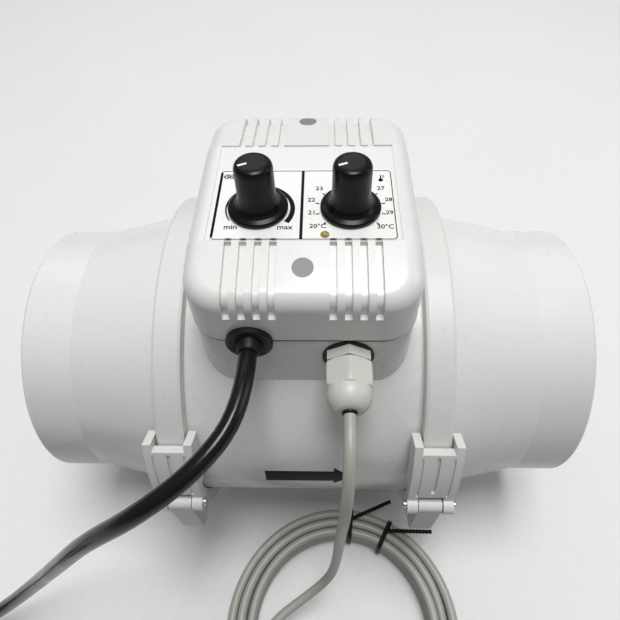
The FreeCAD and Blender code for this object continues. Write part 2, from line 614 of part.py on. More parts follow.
def cable_grommet():
    n = GROMMET_NECK
    outline = [(5.6, 0), (5.6, n + 1.6), (3.6, n + 1.6), (3.6, n), (0.0, n), (0.0, n + 2.5),
               (-1.6, n + 2.5), (-2.2, n + 1.9), (-3.0, n + 0.2), (-6.0, n - 0.9), (-6.0, 0)]
    return turned([(a + FACE, r) for a, r in outline], V(GROMMET_X, 0, SEAM), Y_AXIS)


def gland_body():
    face = BASE_FACE
    flange = hexagon(V(GLAND_X, face, GLAND_Z), V(0, -1, 0), 16.0, 4.6)
    neck = cyl_y(GLAND_X, GLAND_Z, face - 4, face - 12.0, GLAND_NECK)
    thread = cyl_y(GLAND_X, GLAND_Z, face + 7.5, face - 1, GLAND_THREAD)
    return join([flange, neck, thread]).cut(cyl_y(GLAND_X, GLAND_Z, face + 9, face - 14, GLAND_BORE))


def gland_dome_nut():
    start = BASE_FACE - 5.4
    nut = hexagon(V(GLAND_X, start, GLAND_Z), V(0, -1, 0), 15.4, 7.0)
    dome = turned([(start - 6.0, 0), (start - 6.0, 7.7), (start - 9.0, 7.5), (start - 12.5, 6.4),
                   (start - 15.2, 4.6), (start - 15.2, 0)], V(GLAND_X, 0, GLAND_Z), Y_AXIS)
    grips = []
    for k in range(6):
        bar = box(GLAND_X - 0.5, GLAND_X + 0.5, start - 12.5, start - 1.0, GLAND_Z + 6.9, GLAND_Z + 8.1)
        bar.rotate(V(GLAND_X, 0, GLAND_Z), Y_AXIS, 60.0 * k)
        grips.append(bar)
    hollow = [cyl_y(GLAND_X, GLAND_Z, start + 1, BASE_FACE - 12.0, GLAND_NECK),
              cyl_y(GLAND_X, GLAND_Z, start, start - 17, GLAND_BORE)]
    return join([nut, dome]).cut(join(hollow))


def gland_seal():
    inner = BASE_FACE - 10.0
    plug = cyl_y(GLAND_X, GLAND_Z, inner, GLAND_END, GLAND_BORE)
    collar = cyl_y(GLAND_X, GLAND_Z, BASE_FACE - 20.6, GLAND_END, GLAND_BORE + 0.5)
    return join([plug, collar])


def gland_locknut():
    z, face = GLAND_Z, BASE_FACE + BOX_WALL
    nut = hexagon(V(GLAND_X, face, z), Y_AXIS, LOCKNUT_FLATS, 3.4)
    return nut.cut(cyl_y(GLAND_X, z, face - 1, face + 5, GLAND_THREAD))


# ---- motor and impeller ----------------------------------------------------------------------
CUP_FRONT, CUP_BACK = -8.0, 44.0


def blade(chord, stagger_in, stagger_out, r_in, r_out, x_mid, thick):
    """One twisted plate lofted between two radii."""
    wires = []
    for r, stagger in ((r_in, stagger_in), (r_out, stagger_out)):
        a = math.radians(stagger)
        along, across = V(math.cos(a), math.sin(a), 0), V(-math.sin(a), math.cos(a), 0)
        c = V(x_mid, 0, AX + r)
        pts = [c + along * (sx * chord / 2) + across * (sy * thick / 2)
               for sx, sy in ((-1, -1), (1, -1), (1, 1), (-1, 1), (-1, -1))]
        wires.append(Part.makePolygon(pts))
    return Part.makeLoft(wires, True, True)


def impeller():
    x0, x1 = -46.0, -12.0
    hub = turned([(x0, 0), (x0, 14), (x0 + 4, 20), (x0 + 14, 28), (x1 - 4, HUB_RADIUS - 1),
                  (x1, HUB_RADIUS), (x1, HUB_RADIUS - 2.5), (x1 - 6, HUB_RADIUS - 3.5),
                  (x0 + 16, 25), (x0 + 10, 9), (x1 - 2, 9), (x1 - 2, 0)], V(0, 0, AX), X_AXIS)
    vanes = ways(7, blade(30.0, 28.0, 52.0, 24.0, FAN_TIP + 2, (x0 + x1) / 2 + 1, 1.8))
    trimmed = Part.makeCompound(vanes).common(tube_x(x0 + 1, x1 - 0.5, FAN_TIP, 18))
    outer_blades = trimmed.cut(turned([(x0 + 4, 0), (x0 + 4, 19), (x0 + 14, 27), (x1 - 4, HUB_RADIUS - 2),
                                       (x1 + 1, HUB_RADIUS - 1.5), (x1 + 1, 0)], V(0, 0, AX), X_AXIS))
    return join([hub] + outer_blades.Solids).cut(tube_x(x0 - 2, x1 + 2, SHAFT_RADIUS))


def impeller_nut():
    return hexagon(V(-50.0, 0, AX), X_AXIS, 12.0, 4.0).cut(tube_x(-51, -45, SHAFT_RADIUS))


def motor_shaft():
    return tube_x(-51.5, 43.0, SHAFT_RADIUS)


def guide_vanes():
    """Motor cup carried in an outer sleeve by nine swept vanes."""
    sleeve = tube_x(CUP_FRONT, CUP_BACK, BORE, BORE - 1.6)
    cup = tube_x(CUP_FRONT, CUP_BACK, MOTOR_CUP, CAN_RADIUS)
    front = tube_x(CUP_FRONT, CUP_FRONT + 3, MOTOR_CUP, 9.6)
    vanes = ways(9, blade(36.0, -8.0, -24.0, MOTOR_CUP - 1.4, BORE - 0.8, 16.0, 1.8))
    return join([sleeve, cup, front] + vanes)


def motor_can():
    r = CAN_RADIUS
    return join([tube_x(-4.0, 38.0, r, STATOR_RADIUS), tube_x(-5.0, -2.0, r, BEARING_RADIUS + 3.6),
                 tube_x(-5.0, 5.0, BEARING_RADIUS + 3.6, BEARING_RADIUS)])


def motor_end_shield():
    r = CAN_RADIUS
    rim = join([tube_x(38.0, 41.0, r, 6.0), tube_x(31.0, 39.0, BEARING_RADIUS + 3.6, BEARING_RADIUS)])
    holes = []
    for k in range(6):
        a = math.radians(60 * k + 30)
        holes.append(tube_x(37, 42, 3.0, y=22 * math.cos(a), z=AX + 22 * math.sin(a)))
    return rim.cut(Part.makeCompound(holes))


def stator_core():
    core = tube_x(8.0, 28.0, STATOR_RADIUS, STATOR_BORE)
    slot = box(7, 29, -1.7, 1.7, AX + STATOR_BORE + 2.2, AX + STATOR_RADIUS - 4)
    mouth = box(7, 29, -0.6, 0.6, AX + STATOR_BORE - 1, AX + STATOR_BORE + 3)
    return core.cut(Part.makeCompound(ways(12, slot.fuse(mouth))))


def stator_windings():
    bars = ways(12, box(3.4, 32.6, -1.5, 1.5, AX + STATOR_BORE + 2.6, AX + STATOR_RADIUS - 4.4))
    rings = [tube_x(a, b, STATOR_RADIUS - 3.4, STATOR_BORE + 1.6) for a, b in ((2.6, 7.6), (28.4, 33.4))]
    return join(rings + bars)


def rotor_core():
    cage = [tube_x(a, a + 1.8, ROTOR_RADIUS - 1.0, SHAFT_RADIUS) for a in (6.4, 27.8)]
    return join([tube_x(8.0, 28.0, ROTOR_RADIUS, SHAFT_RADIUS)] + cage)


def bearing(x0):
    return tube_x(x0, x0 + 7.0, BEARING_RADIUS, SHAFT_RADIUS + 0.05)


# ---- cords ---------------------------------------------------------------------------------
def route(points, name):
    """Straight runs joined by tangent arcs; prints each arc's radius."""
    pts = [V(*p) for p in points]
    start, edges, radii = pts[0], [], []
    for k in range(1, len(pts) - 1):
        a, b, c = pts[k - 1], pts[k], pts[k + 1]
        u, w = (a - b).normalize(), (c - b).normalize()
        half = (math.pi - u.getAngle(w)) / 2.0
        trim = 0.45 * min((a - b).Length, (c - b).Length)
        radius = trim / math.tan(half)
        middle = (u + w).normalize()
        p0, p1 = b + u * trim, b + w * trim
        centre = b + middle * math.hypot(radius, trim)
        pm = centre - middle * radius
        edges += [Part.LineSegment(start, p0).toShape(), Part.Arc(p0, pm, p1).toShape()]
        radii.append(radius)
        start = p1
    edges.append(Part.LineSegment(start, pts[-1]).toShape())
    print(name, "arc radii", " ".join("%.1f" % r for r in radii))
    return Part.Wire(edges)


def cord(points, diameter, name):
    path = route(points, name)
    first = V(*points[1]) - V(*points[0])
    section = Part.Wire([Part.Circle(V(*points[0]), first, diameter / 2).toShape()])
    solid = path.makePipeShell([section], True, False)
    ideal = math.pi * diameter ** 2 / 4 * path.Length
    lowest = solid.optimalBoundingBox(False).ZMin
    print(name, "length %.1f" % path.Length, "volume/ideal %.4f" % (solid.Volume / ideal),
          "lowest %.2f" % lowest)
    return solid


def coil(spec):
    """Outer shape of a coiled hank lying on the floor, with rounded edges."""
    cx, cy, r_out, width, height = spec
    c = 3.0
    r_in = r_out - width
    outline = [(0.0, r_in + c), (0.0, r_out - c), (c, r_out), (height - c, r_out), (height, r_out - c),
               (height, r_in + c), (height - c, r_in), (c, r_in)]
    return turned(outline, V(cx, cy, 0), Z_AXIS)


MZ = MAINS_D / 2 + 0.05
PLUG_Z = 18.1
MC = MAINS_COIL
MAINS_OUT = MC[2] - MAINS_D / 2 - 0.1               # the coil's outer turn
MAINS_TOP = MZ + MAINS_D                            # and its upper layer
MAINS_ROUTE = [
    (GROMMET_X, MAINS_EXIT, SEAM), (GROMMET_X, MAINS_EXIT - 21, SEAM),
    (GROMMET_X - 11.5, MAINS_EXIT - 40, SEAM - 2.0), (GROMMET_X - 30.5, MAINS_EXIT - 53, SEAM - 9),
    (GROMMET_X - 54, MAINS_EXIT - 56, SEAM - 31), (GROMMET_X - 77, MAINS_EXIT - 57, SEAM - 65),
    (GROMMET_X - 103, MAINS_EXIT - 57, SEAM - 105), (-150.0, -119.0, 30.0), (-174.0, -126.0, 11.0),
    (-203.0, -132.5, MZ), (MC[0] + 14, MC[1] + MAINS_OUT + 1.5, MZ), (MC[0] - 1, MC[1] + MAINS_OUT, MZ)]
MAINS_TAIL = [(MC[0] - 4, MC[1] + MAINS_OUT, MAINS_TOP),
              (MC[0] - 30, MC[1] + MAINS_OUT - 1.5, MAINS_TOP - 1),
              (MC[0] - 57, MC[1] + MAINS_OUT - 10, MZ + 3.2), (MC[0] - 84, MC[1] + MAINS_OUT - 17, PLUG_Z),
              (MC[0] - 104, MC[1] + MAINS_OUT - 17, PLUG_Z)]
PLUG_AT = MAINS_TAIL[-1]

SZ = SENSOR_D / 2 + 0.05
SC = SENSOR_COIL
SENSOR_OUT = SC[2] - SENSOR_D / 2 - 0.05            # the coil's outer turn
SENSOR_TOP = SC[4] - SENSOR_D / 2 - 0.1
SENSOR_ROUTE = [
    (GLAND_X, GLAND_END, GLAND_Z), (GLAND_X, GLAND_END - 9, GLAND_Z),
    (GLAND_X - 0.4, GLAND_END - 18, GLAND_Z - 5.5), (GLAND_X - 0.8, GLAND_END - 23.5, GLAND_Z - 16.5),
    (GLAND_X - 1.2, GLAND_END - 25.5, GLAND_Z - 38), (GLAND_X - 2.2, GLAND_END - 24.5, GLAND_Z - 70),
    (GLAND_X - 2.8, GLAND_END - 26, GLAND_Z - 104), (GLAND_X - 6.0, GLAND_END - 30, GLAND_Z - 125),
    (GLAND_X - 17.5, GLAND_END - 36.5, SENSOR_TOP + 4.5), (SC[0] - 34.5, SC[1] + 3.5, SENSOR_TOP + 0.4),
    (SC[0] - 45.6, SC[1] - 12.2, SENSOR_TOP), (SC[0] - 42.5, SC[1] - 25.0, SENSOR_TOP)]
SENSOR_TAIL = [(SC[0] + 4, SC[1] - SENSOR_OUT, SZ), (SC[0] + 28, SC[1] - SENSOR_OUT - 1.5, SZ),
               (SC[0] + 54, SC[1] - SENSOR_OUT - 9, SZ), (SC[0] + 78, SC[1] - SENSOR_OUT - 24, SZ)]


def mains_plug():
    """Generic two-pin round plug lying on its side."""
    x, y, z = PLUG_AT
    outline = [(0, 0), (0, 5.0), (-12, 6.5), (-14, 14.0), (-20, 18.0), (-38, 18.0), (-39, 17.2), (-39, 0)]
    body = turned(outline, V(x, y, z), X_AXIS)
    pins = [tube_x(x - 58, x - 38, 2.4, y=y + s * 9.5, z=z) for s in (-1, 1)]
    return join([body] + pins)


def sensor_probe():
    a, b = V(*SENSOR_TAIL[-2]), V(*SENSOR_TAIL[-1])
    d = (b - a).normalize()
    lift = V(0, 0, 3.05 - SZ)
    sleeve = Part.makeCylinder(3.0, 24.0, b + lift, d)
    tip = Part.makeSphere(3.0, b + lift + d * 24.0)
    return join([sleeve, tip])


def cord_ties():
    """Twisted wire ties round both hanks."""
    ties = []
    for spec, angle, turn in ((SENSOR_COIL, 84.0, -60.0), (SENSOR_COIL, 62.0, -62.0),
                              (SENSOR_COIL, 236.0, 20.0), (MAINS_COIL, 200.0, 40.0),
                              (MAINS_COIL, 18.0, 30.0)):
        cx, cy, r_out, width, height = spec
        mid, t, play = r_out - width / 2, 0.9, 0.3
        reach = width / 2 + play
        hoop = box(mid - reach - t, mid + reach + t, -1.3, 1.3, 0.05, height + play + t)
        hoop = hoop.cut(box(mid - reach, mid + reach, -3, 3, -1, height + play))
        end = box(-2.0, 26.0, -1.1, 1.1, 0, 1.0).fuse(cyl_z(0, 0, 0, 2.4, 2.2))
        end.rotate(V(0, 0, 0), Z_AXIS, turn)
        end.translate(V(mid + 1, 0, height + play + t - 0.4))
        hoop = join([hoop, end])
        hoop.translate(V(cx, cy, 0))
        hoop.rotate(V(cx, cy, 0), Z_AXIS, angle)
        ties.append(hoop)
    return Part.makeCompound(ties)


# ---- build ---------------------------------------------------------------------------------
def both(name, maker):
    shape = maker()
    return {"right_" + name: shape, "left_" + name: mirrored(shape)}


def build():
    parts = {
        "outlet_spigot": outlet_spigot(), "inlet_spigot": mirrored(outlet_spigot()),
        "centre_casing": centre_casing(),
        "outlet_gasket": gasket(), "inlet_gasket": mirrored(gasket()),
        "mounting_bracket": mounting_bracket(),
        "terminal_box_base": terminal_box_base(), "box_lid": box_lid(),
        "lid_screws": lid_screws(), "screw_caps": screw_caps(), "control_label": control_label(),
        "pot_nuts": pot_nuts(), "indicator_lens": indicator_lens(),
        "circuit_board": circuit_board(), "triac_heatsink": triac_heatsink(),
        "capacitor": capacitor(), "terminal_block": terminal_block(),
        "cable_grommet": cable_grommet(), "gland_body": gland_body(),
        "gland_dome_nut": gland_dome_nut(), "gland_seal": gland_seal(), "gland_locknut": gland_locknut(),
        "impeller": impeller(), "impeller_nut": impeller_nut(), "guide_vanes": guide_vanes(),
        "motor_can": motor_can(), "motor_end_shield": motor_end_shield(),
        "stator_core": stator_core(), "stator_windings": stator_windings(),
        "rotor_core": rotor_core(), "motor_shaft": motor_shaft(),
        "front_bearing": bearing(-3.0), "rear_bearing": bearing(31.0),
        "mains_cord": cord(MAINS_ROUTE, MAINS_D, "mains_cord"), "mains_cord_coil": coil(MAINS_COIL),
        "mains_cord_tail": cord(MAINS_TAIL, MAINS_D, "mains_cord_tail"), "mains_plug": mains_plug(),
        "sensor_cord": cord(SENSOR_ROUTE, SENSOR_D, "sensor_cord"), "sensor_cord_coil": coil(SENSOR_COIL),
        "sensor_cord_tail": cord(SENSOR_TAIL, SENSOR_D, "sensor_cord_tail"),
        "sensor_probe": sensor_probe(), "cord_ties": cord_ties(),
    }
    for name, maker in (("clamp_strap", clamp_strap), ("latch_lever", latch_lever),
                        ("latch_pin", latch_pin), ("strap_pin", strap_pin)):
        parts.update(both(name, maker))
    for name, x in zip(("speed", "thermostat"), KNOBS):
        parts[name + "_knob"] = knob(x)
        parts[name + "_knob_pointer"] = pointer(x)
        parts[name + "_potentiometer"] = potentiometer(x)
        parts[name + "_pot_shaft"] = pot_shaft(x)
    return parts


def main():
    os.makedirs("parts", exist_ok=True)
    for name, shape in sorted(build().items()):
        if not shape.isValid() or not shape.Solids:
            raise ValueError("bad shape: " + name)
        shape.exportStep("parts/%s.step" % name)
        print("%-24s solids %d volume %.0f" % (name, len(shape.Solids), shape.Volume))


main()
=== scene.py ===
"""Looks of an inline duct fan: finishes, printed dials, cords, studio and camera around its frame."""
import json
import logging
import math
from dataclasses import dataclass, field
from enum import Enum
from typing import Iterable, Sequence

import bpy
from mathutils import Matrix, Vector


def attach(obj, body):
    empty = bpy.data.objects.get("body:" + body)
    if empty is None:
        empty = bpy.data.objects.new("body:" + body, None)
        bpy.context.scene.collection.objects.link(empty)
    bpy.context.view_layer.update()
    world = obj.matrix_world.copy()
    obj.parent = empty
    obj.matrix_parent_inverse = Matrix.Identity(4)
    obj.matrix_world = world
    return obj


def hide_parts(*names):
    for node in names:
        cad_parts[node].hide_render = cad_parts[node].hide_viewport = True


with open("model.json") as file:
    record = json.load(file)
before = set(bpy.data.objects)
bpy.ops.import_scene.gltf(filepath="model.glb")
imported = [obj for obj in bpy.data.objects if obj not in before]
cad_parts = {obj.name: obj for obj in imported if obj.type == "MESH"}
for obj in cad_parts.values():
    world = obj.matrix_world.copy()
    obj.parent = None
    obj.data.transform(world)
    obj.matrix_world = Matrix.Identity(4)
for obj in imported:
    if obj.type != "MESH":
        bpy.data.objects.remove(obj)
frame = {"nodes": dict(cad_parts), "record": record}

LOG = logging.getLogger("duct_fan")
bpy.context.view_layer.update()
MM = 0.001
Colour = tuple[float, float, float]
Point = tuple[float, float, float]
Pair = tuple[float, float]
Hank = tuple[float, float, float, float, float]
Piece = bpy.types.Object
Socket = bpy.types.NodeSocket
HOUSING = "fan_housing"


class Side(Enum):
    """The two sides of a pair, by sign."""

    LEFT = -1
    RIGHT = 1


# ---- workshop: selecting, shaping and finishing meshes -----------------------


def metres(spot: Sequence[float]) -> tuple[float, ...]:
    """A place given in millimetres, in metres."""
    return tuple(c * MM for c in spot)


def deselect() -> None:
    """Leave nothing selected, in object mode."""
    if bpy.context.object and bpy.context.object.mode != "OBJECT":
        bpy.ops.object.mode_set(mode="OBJECT")
    bpy.ops.object.select_all(action="DESELECT")


def activate(obj: Piece) -> Piece:
    """Select one object and make it active.

    Args:
        obj: the object to work on.

    Returns:
        The same object.
    """
    deselect()
    obj.select_set(True)
    bpy.context.view_layer.objects.active = obj
    return obj


def settle(obj: Piece, name: str) -> Piece:
    """Apply the object's place to its mesh, name it and leave it at the origin.

    Args:
        obj: a finished mesh, curve or text object.
        name: the piece's name.

    Returns:
        The finished piece, as a mesh at the origin.
    """
    activate(obj)
    if obj.type != "MESH":
        bpy.ops.object.convert(target="MESH")
        obj = bpy.context.object
    bpy.ops.object.transform_apply(location=True, rotation=True, scale=True)
    obj.name = obj.data.name = name
    return obj


def apply_modifier(obj: Piece, kind: str, **settings: object) -> None:
    """Add one modifier and apply it.

    Args:
        obj: the mesh object.
        kind: the modifier's type name.
        **settings: its properties.
    """
    activate(obj)
    modifier = obj.modifiers.new(kind.title(), kind)
    for key, value in settings.items():
        setattr(modifier, key, value)
    bpy.ops.object.modifier_apply(modifier=modifier.name)


def spun(name: str, profile: Sequence[Pair], centre: Point, axis: str,
         steps: int = 64) -> Piece:
    """A closed turned piece: a radius and height profile spun about an axis.

    Args:
        name: the piece's name.
        profile: (radius, height) pairs in millimetres, from the axis out and back to it.
        centre: where height zero lies on the axis, in millimetres.
        axis: "Z", "-Y" or "-X", the way that height points.
        steps: segments around.

    Returns:
        The piece, at the origin, with its place in its mesh.
    """
    deselect()
    mesh = bpy.data.meshes.new(name)
    mesh.from_pydata([(r * MM, 0.0, h * MM) for r, h in profile],
                     [(k, k + 1) for k in range(len(profile) - 1)], [])
    obj = bpy.data.objects.new(name, mesh)
    bpy.context.collection.objects.link(obj)
    activate(obj)
    bpy.ops.object.mode_set(mode="EDIT")
    bpy.ops.mesh.select_all(action="SELECT")
    bpy.ops.mesh.spin(steps=steps, angle=2 * math.pi, center=(0, 0, 0), axis=(0, 0, 1))
    bpy.ops.mesh.select_all(action="SELECT")
    bpy.ops.mesh.remove_doubles(threshold=1e-6)
    bpy.ops.mesh.normals_make_consistent(inside=False)
    bpy.ops.object.mode_set(mode="OBJECT")
    quarter = math.pi / 2
    obj.rotation_euler = {"Z": (0, 0, 0), "-Y": (quarter, 0, 0), "-X": (0, -quarter, 0)}[axis]
    obj.location = metres(centre)
    obj = settle(obj, name)
    bpy.ops.object.shade_smooth_by_angle(angle=math.radians(32))
    return obj


def place(obj: Piece, finish: "Finish") -> Piece:
    """Dress a piece and let it ride on the housing.

    Args:
        obj: the finished piece.
        finish: what it is made of.

    Returns:
        The same piece.
    """
    obj.data.materials.clear()
    obj.data.materials.append(finish.material)
    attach(obj, HOUSING)
    LOG.info("%s rides on %s", obj.name, HOUSING)
    return obj


# ---- finishes ----------------------------------------------------------------


class Bench:
    """One material on the bench: a Principled shader and the nodes that feed it."""

    def __init__(self, name: str) -> None:
        """Start a material with object coordinates ready.

        Args:
            name: the material's name.
        """
        self.material = bpy.data.materials.new(name)
        self.material.use_nodes = True
        self.tree = self.material.node_tree
        self.shader = self.tree.nodes["Principled BSDF"]
        self.coords = self.tree.nodes.new("ShaderNodeTexCoord").outputs["Object"]

    def value(self, name: str, value: object) -> None:
        """Set a uniform value on the shader itself."""
        self.shader.inputs[name].default_value = value

    def feed(self, output: Socket, name: str) -> None:
        """Link a varying value to the shader."""
        self.tree.links.new(output, self.shader.inputs[name])

    def stretched(self, scale: Point) -> Socket:
        """Object coordinates scaled by a Mapping node.

        Args:
            scale: the factor along each axis.

        Returns:
            The scaled coordinates.
        """
        node = self.tree.nodes.new("ShaderNodeMapping")
        node.inputs["Scale"].default_value = scale
        self.tree.links.new(self.coords, node.inputs["Vector"])
        return node.outputs["Vector"]

    def noise(self, scale: float, detail: float = 3.0, rough: float = 0.55,
              vector: Socket | None = None) -> Socket:
        """A noise value on the piece's own coordinates.

        Args:
            scale: how fine the noise is.
            detail: how many finer layers it has.
            rough: how strong they are.
            vector: other coordinates, if not the piece's own.

        Returns:
            The noise, about 0.3 to 0.7 over most of a surface.
        """
        node = self.tree.nodes.new("ShaderNodeTexNoise")
        node.inputs["Scale"].default_value = scale
        node.inputs["Detail"].default_value = detail
        node.inputs["Roughness"].default_value = rough
        self.tree.links.new(vector or self.coords, node.inputs["Vector"])
        return node.outputs["Fac"]

    def cells(self, scale: float) -> Socket:
        """Distance to the nearest point of a Voronoi pattern.

        Args:
            scale: how fine the pattern is.

        Returns:
            The distance.
        """
        node = self.tree.nodes.new("ShaderNodeTexVoronoi")
        node.inputs["Scale"].default_value = scale
        self.tree.links.new(self.coords, node.inputs["Vector"])
        return node.outputs["Distance"]

    def bands(self, scale: float, axis: str, distortion: float = 0.0) -> Socket:
        """Parallel bands along one axis.

        Args:
            scale: how fine the bands are.
            axis: the axis across them, or "DIAGONAL".
            distortion: how much they waver.

        Returns:
            The bands' height.
        """
        node = self.tree.nodes.new("ShaderNodeTexWave")
        node.bands_direction = axis
        node.inputs["Scale"].default_value = scale
        node.inputs["Distortion"].default_value = distortion
        self.tree.links.new(self.coords, node.inputs["Vector"])
        return node.outputs["Fac"]

    def ramp(self, source: Socket,
             stops: Sequence[tuple[float, Colour]]) -> Socket:
        """Colours along a value.

        Args:
            source: the value.
            stops: (position, colour) pairs.

        Returns:
            The colour.
        """
        node = self.tree.nodes.new("ShaderNodeValToRGB")
        elements = node.color_ramp.elements
        while len(elements) < len(stops):
            elements.new(0.5)
        for element, (position, colour) in zip(elements, stops):
            element.position = position
            element.color = (*colour, 1.0)
        self.tree.links.new(source, node.inputs["Fac"])
        return node.outputs["Color"]

    def spread(self, source: Socket, low: float, high: float,
               start: float = 0.3, end: float = 0.7) -> Socket:
        """Map part of a value's range onto another range.

        Args:
            source: the value.
            low: the result at the range's start.
            high: the result at its end.
            start: where the range starts.
            end: where it ends.

        Returns:
            The mapped value.
        """
        node = self.tree.nodes.new("ShaderNodeMapRange")
        for key, number in zip(("From Min", "From Max", "To Min", "To Max"),
                               (start, end, low, high)):
            node.inputs[key].default_value = number
        self.tree.links.new(source, node.inputs["Value"])
        return node.outputs["Result"]

    def multiply(self, first: Socket, second: Socket,
                 share: float) -> Socket:
        """Darken one colour by another.

        Args:
            first: the base colour.
            second: the colour that darkens it.
            share: how much of it counts.

        Returns:
            The mixed colour.
        """
        node = self.tree.nodes.new("ShaderNodeMixRGB")
        node.blend_type = "MULTIPLY"
        node.inputs["Fac"].default_value = share
        self.tree.links.new(first, node.inputs["Color1"])
        self.tree.links.new(second, node.inputs["Color2"])
        return node.outputs["Color"]

    def relief(self, layers: Iterable[tuple[Socket, float, float]]) -> None:
        """Chain bump layers into the shader's normal.

        Args:
            layers: (height, strength, depth in metres) for each layer, coarse first.
        """
        normal = None
        for height, strength, depth in layers:
            node = self.tree.nodes.new("ShaderNodeBump")
            node.inputs["Strength"].default_value = strength
            node.inputs["Distance"].default_value = depth
            self.tree.links.new(height, node.inputs["Height"])
            if normal is not None:
                self.tree.links.new(normal, node.inputs["Normal"])
            normal = node.outputs["Normal"]
        self.feed(normal, "Normal")


def shade(colour: Colour, factor: float) -> Colour:
    """A colour made lighter or darker."""
    return tuple(min(1.0, c * factor) for c in colour)


class Recipe:
    """How one kind of surface is made."""

    def dress(self, bench: Bench) -> None:
        """Lay colour, roughness and relief on the bench."""
        raise NotImplementedError

    def make(self, name: str) -> bpy.types.Material:
        """Build the material.

        Args:
            name: the material's name.

        Returns:
            The material, ready to assign.
        """
        bench = Bench(name)
        self.dress(bench)
        return bench.material


@dataclass(frozen=True)
class MouldedPlastic(Recipe):
    """Injection-moulded plastic: faint flow marks, a spark-eroded grain and handling marks."""

    colour: Colour
    roughness: float = 0.34
    grain: float = 1500.0
    grain_depth: float = 0.00003
    drift: float = 0.05
    coat: float = 0.0
    gloss: float = 0.5

    def dress(self, bench: Bench) -> None:
        """Lay colour, roughness and relief on the bench."""
        bench.value("Specular IOR Level", self.gloss)
        flow = bench.noise(9.0, 4.0, 0.5)
        base = bench.ramp(flow, [(0.3, shade(self.colour, 1 - self.drift)),
                                 (0.7, shade(self.colour, 1 + self.drift * 0.4))])
        specks = bench.ramp(bench.noise(420.0, 2.0, 0.6),
                            [(0.30, (0.82, 0.82, 0.81)), (0.36, (1, 1, 1))])
        bench.feed(bench.multiply(base, specks, 0.35), "Base Color")
        bench.feed(bench.spread(bench.noise(26.0, 5.0, 0.6), self.roughness - 0.05,
                                self.roughness + 0.07), "Roughness")
        bench.relief([(bench.noise(14.0, 2.0, 0.4), 0.10, 0.0006),
                      (bench.noise(self.grain, 2.0, 0.6), 0.35, self.grain_depth)])
        bench.value("IOR", 1.5)
        bench.value("Coat Weight", self.coat)
        bench.value("Coat Roughness", 0.12)


@dataclass(frozen=True)
class Elastomer(Recipe):
    """Black rubber or soft PVC with a dusty bloom and fine pores."""

    colour: Colour
    roughness: float = 0.46
    bloom: float = 0.5
    pores: float = 900.0
    gloss: float = 0.5
    wave: float = 0.12

    def dress(self, bench: Bench) -> None:
        """Lay colour, roughness and relief on the bench."""
        bench.value("Specular IOR Level", self.gloss)
        dust = bench.noise(60.0, 5.0, 0.62)
        base = bench.ramp(dust, [(0.35, self.colour), (0.8, shade(self.colour, 1 + self.bloom))])
        bench.feed(base, "Base Color")
        bench.feed(bench.spread(bench.noise(110.0, 3.0), self.roughness - 0.04,
                                self.roughness + 0.06), "Roughness")
        bench.relief([(bench.noise(45.0, 2.0), self.wave, 0.0004),
                      (bench.noise(self.pores, 2.0), 0.2, 0.00002)])
        bench.value("IOR", 1.52)


@dataclass(frozen=True)
class Metal(Recipe):
    """Metal with brushing along one axis, or laminations across it."""

    colour: Colour
    roughness: float = 0.28
    brushing: Point = (4.0, 260.0, 260.0)
    laminations: float = 0.0
    patina: float = 0.14

    def dress(self, bench: Bench) -> None:
        """Lay colour, roughness and relief on the bench."""
        lines = bench.noise(8.0, 4.0, 0.6, bench.stretched(self.brushing))
        stain = bench.noise(38.0, 5.0, 0.6)
        base = bench.ramp(stain, [(0.3, shade(self.colour, 1 - self.patina)), (0.65, self.colour)])
        bench.value("Metallic", 1.0)
        layers = [(lines, 0.18, 0.00005)]
        if self.laminations:
            stack = bench.bands(self.laminations, "X")
            sheet = bench.ramp(stack, [(0.15, (0.45, 0.45, 0.46)), (0.5, (1, 1, 1))])
            base = bench.multiply(base, sheet, 0.7)
            layers.append((stack, 0.5, 0.0001))
        bench.feed(base, "Base Color")
        bench.feed(bench.spread(lines, self.roughness - 0.07, self.roughness + 0.12), "Roughness")
        bench.relief(layers)


@dataclass(frozen=True)
class Winding(Recipe):
    """Enamelled copper wire laid side by side."""

    colour: Colour = (0.52, 0.2, 0.08)

    def dress(self, bench: Bench) -> None:
        """Lay colour, roughness and relief on the bench."""
        wires = bench.bands(420.0, "DIAGONAL", 1.6)
        base = bench.ramp(wires, [(0.1, shade(self.colour, 0.35)), (0.6, self.colour)])
        bench.feed(base, "Base Color")
        bench.feed(bench.spread(bench.noise(300.0), 0.25, 0.42), "Roughness")
        bench.relief([(wires, 0.8, 0.0003)])
        bench.value("Metallic", 0.8)


@dataclass(frozen=True)
class SolderMask(Recipe):
    """Green circuit board lacquer over copper tracks."""

    colour: Colour = (0.012, 0.11, 0.035)

    def dress(self, bench: Bench) -> None:
        """Lay colour, roughness and relief on the bench."""
        tracks = bench.ramp(bench.cells(150.0), [(0.42, (0.55, 0.9, 0.6)), (0.47, (1.0, 1.0, 1.0))])
        base = bench.ramp(bench.noise(90.0), [(0.35, shade(self.colour, 0.8)),
                                              (0.65, shade(self.colour, 1.25))])
        bench.feed(bench.multiply(base, tracks, 0.6), "Base Color")
        bench.feed(bench.spread(bench.noise(240.0), 0.22, 0.36), "Roughness")
        bench.relief([(bench.cells(150.0), 0.3, 0.0001)])


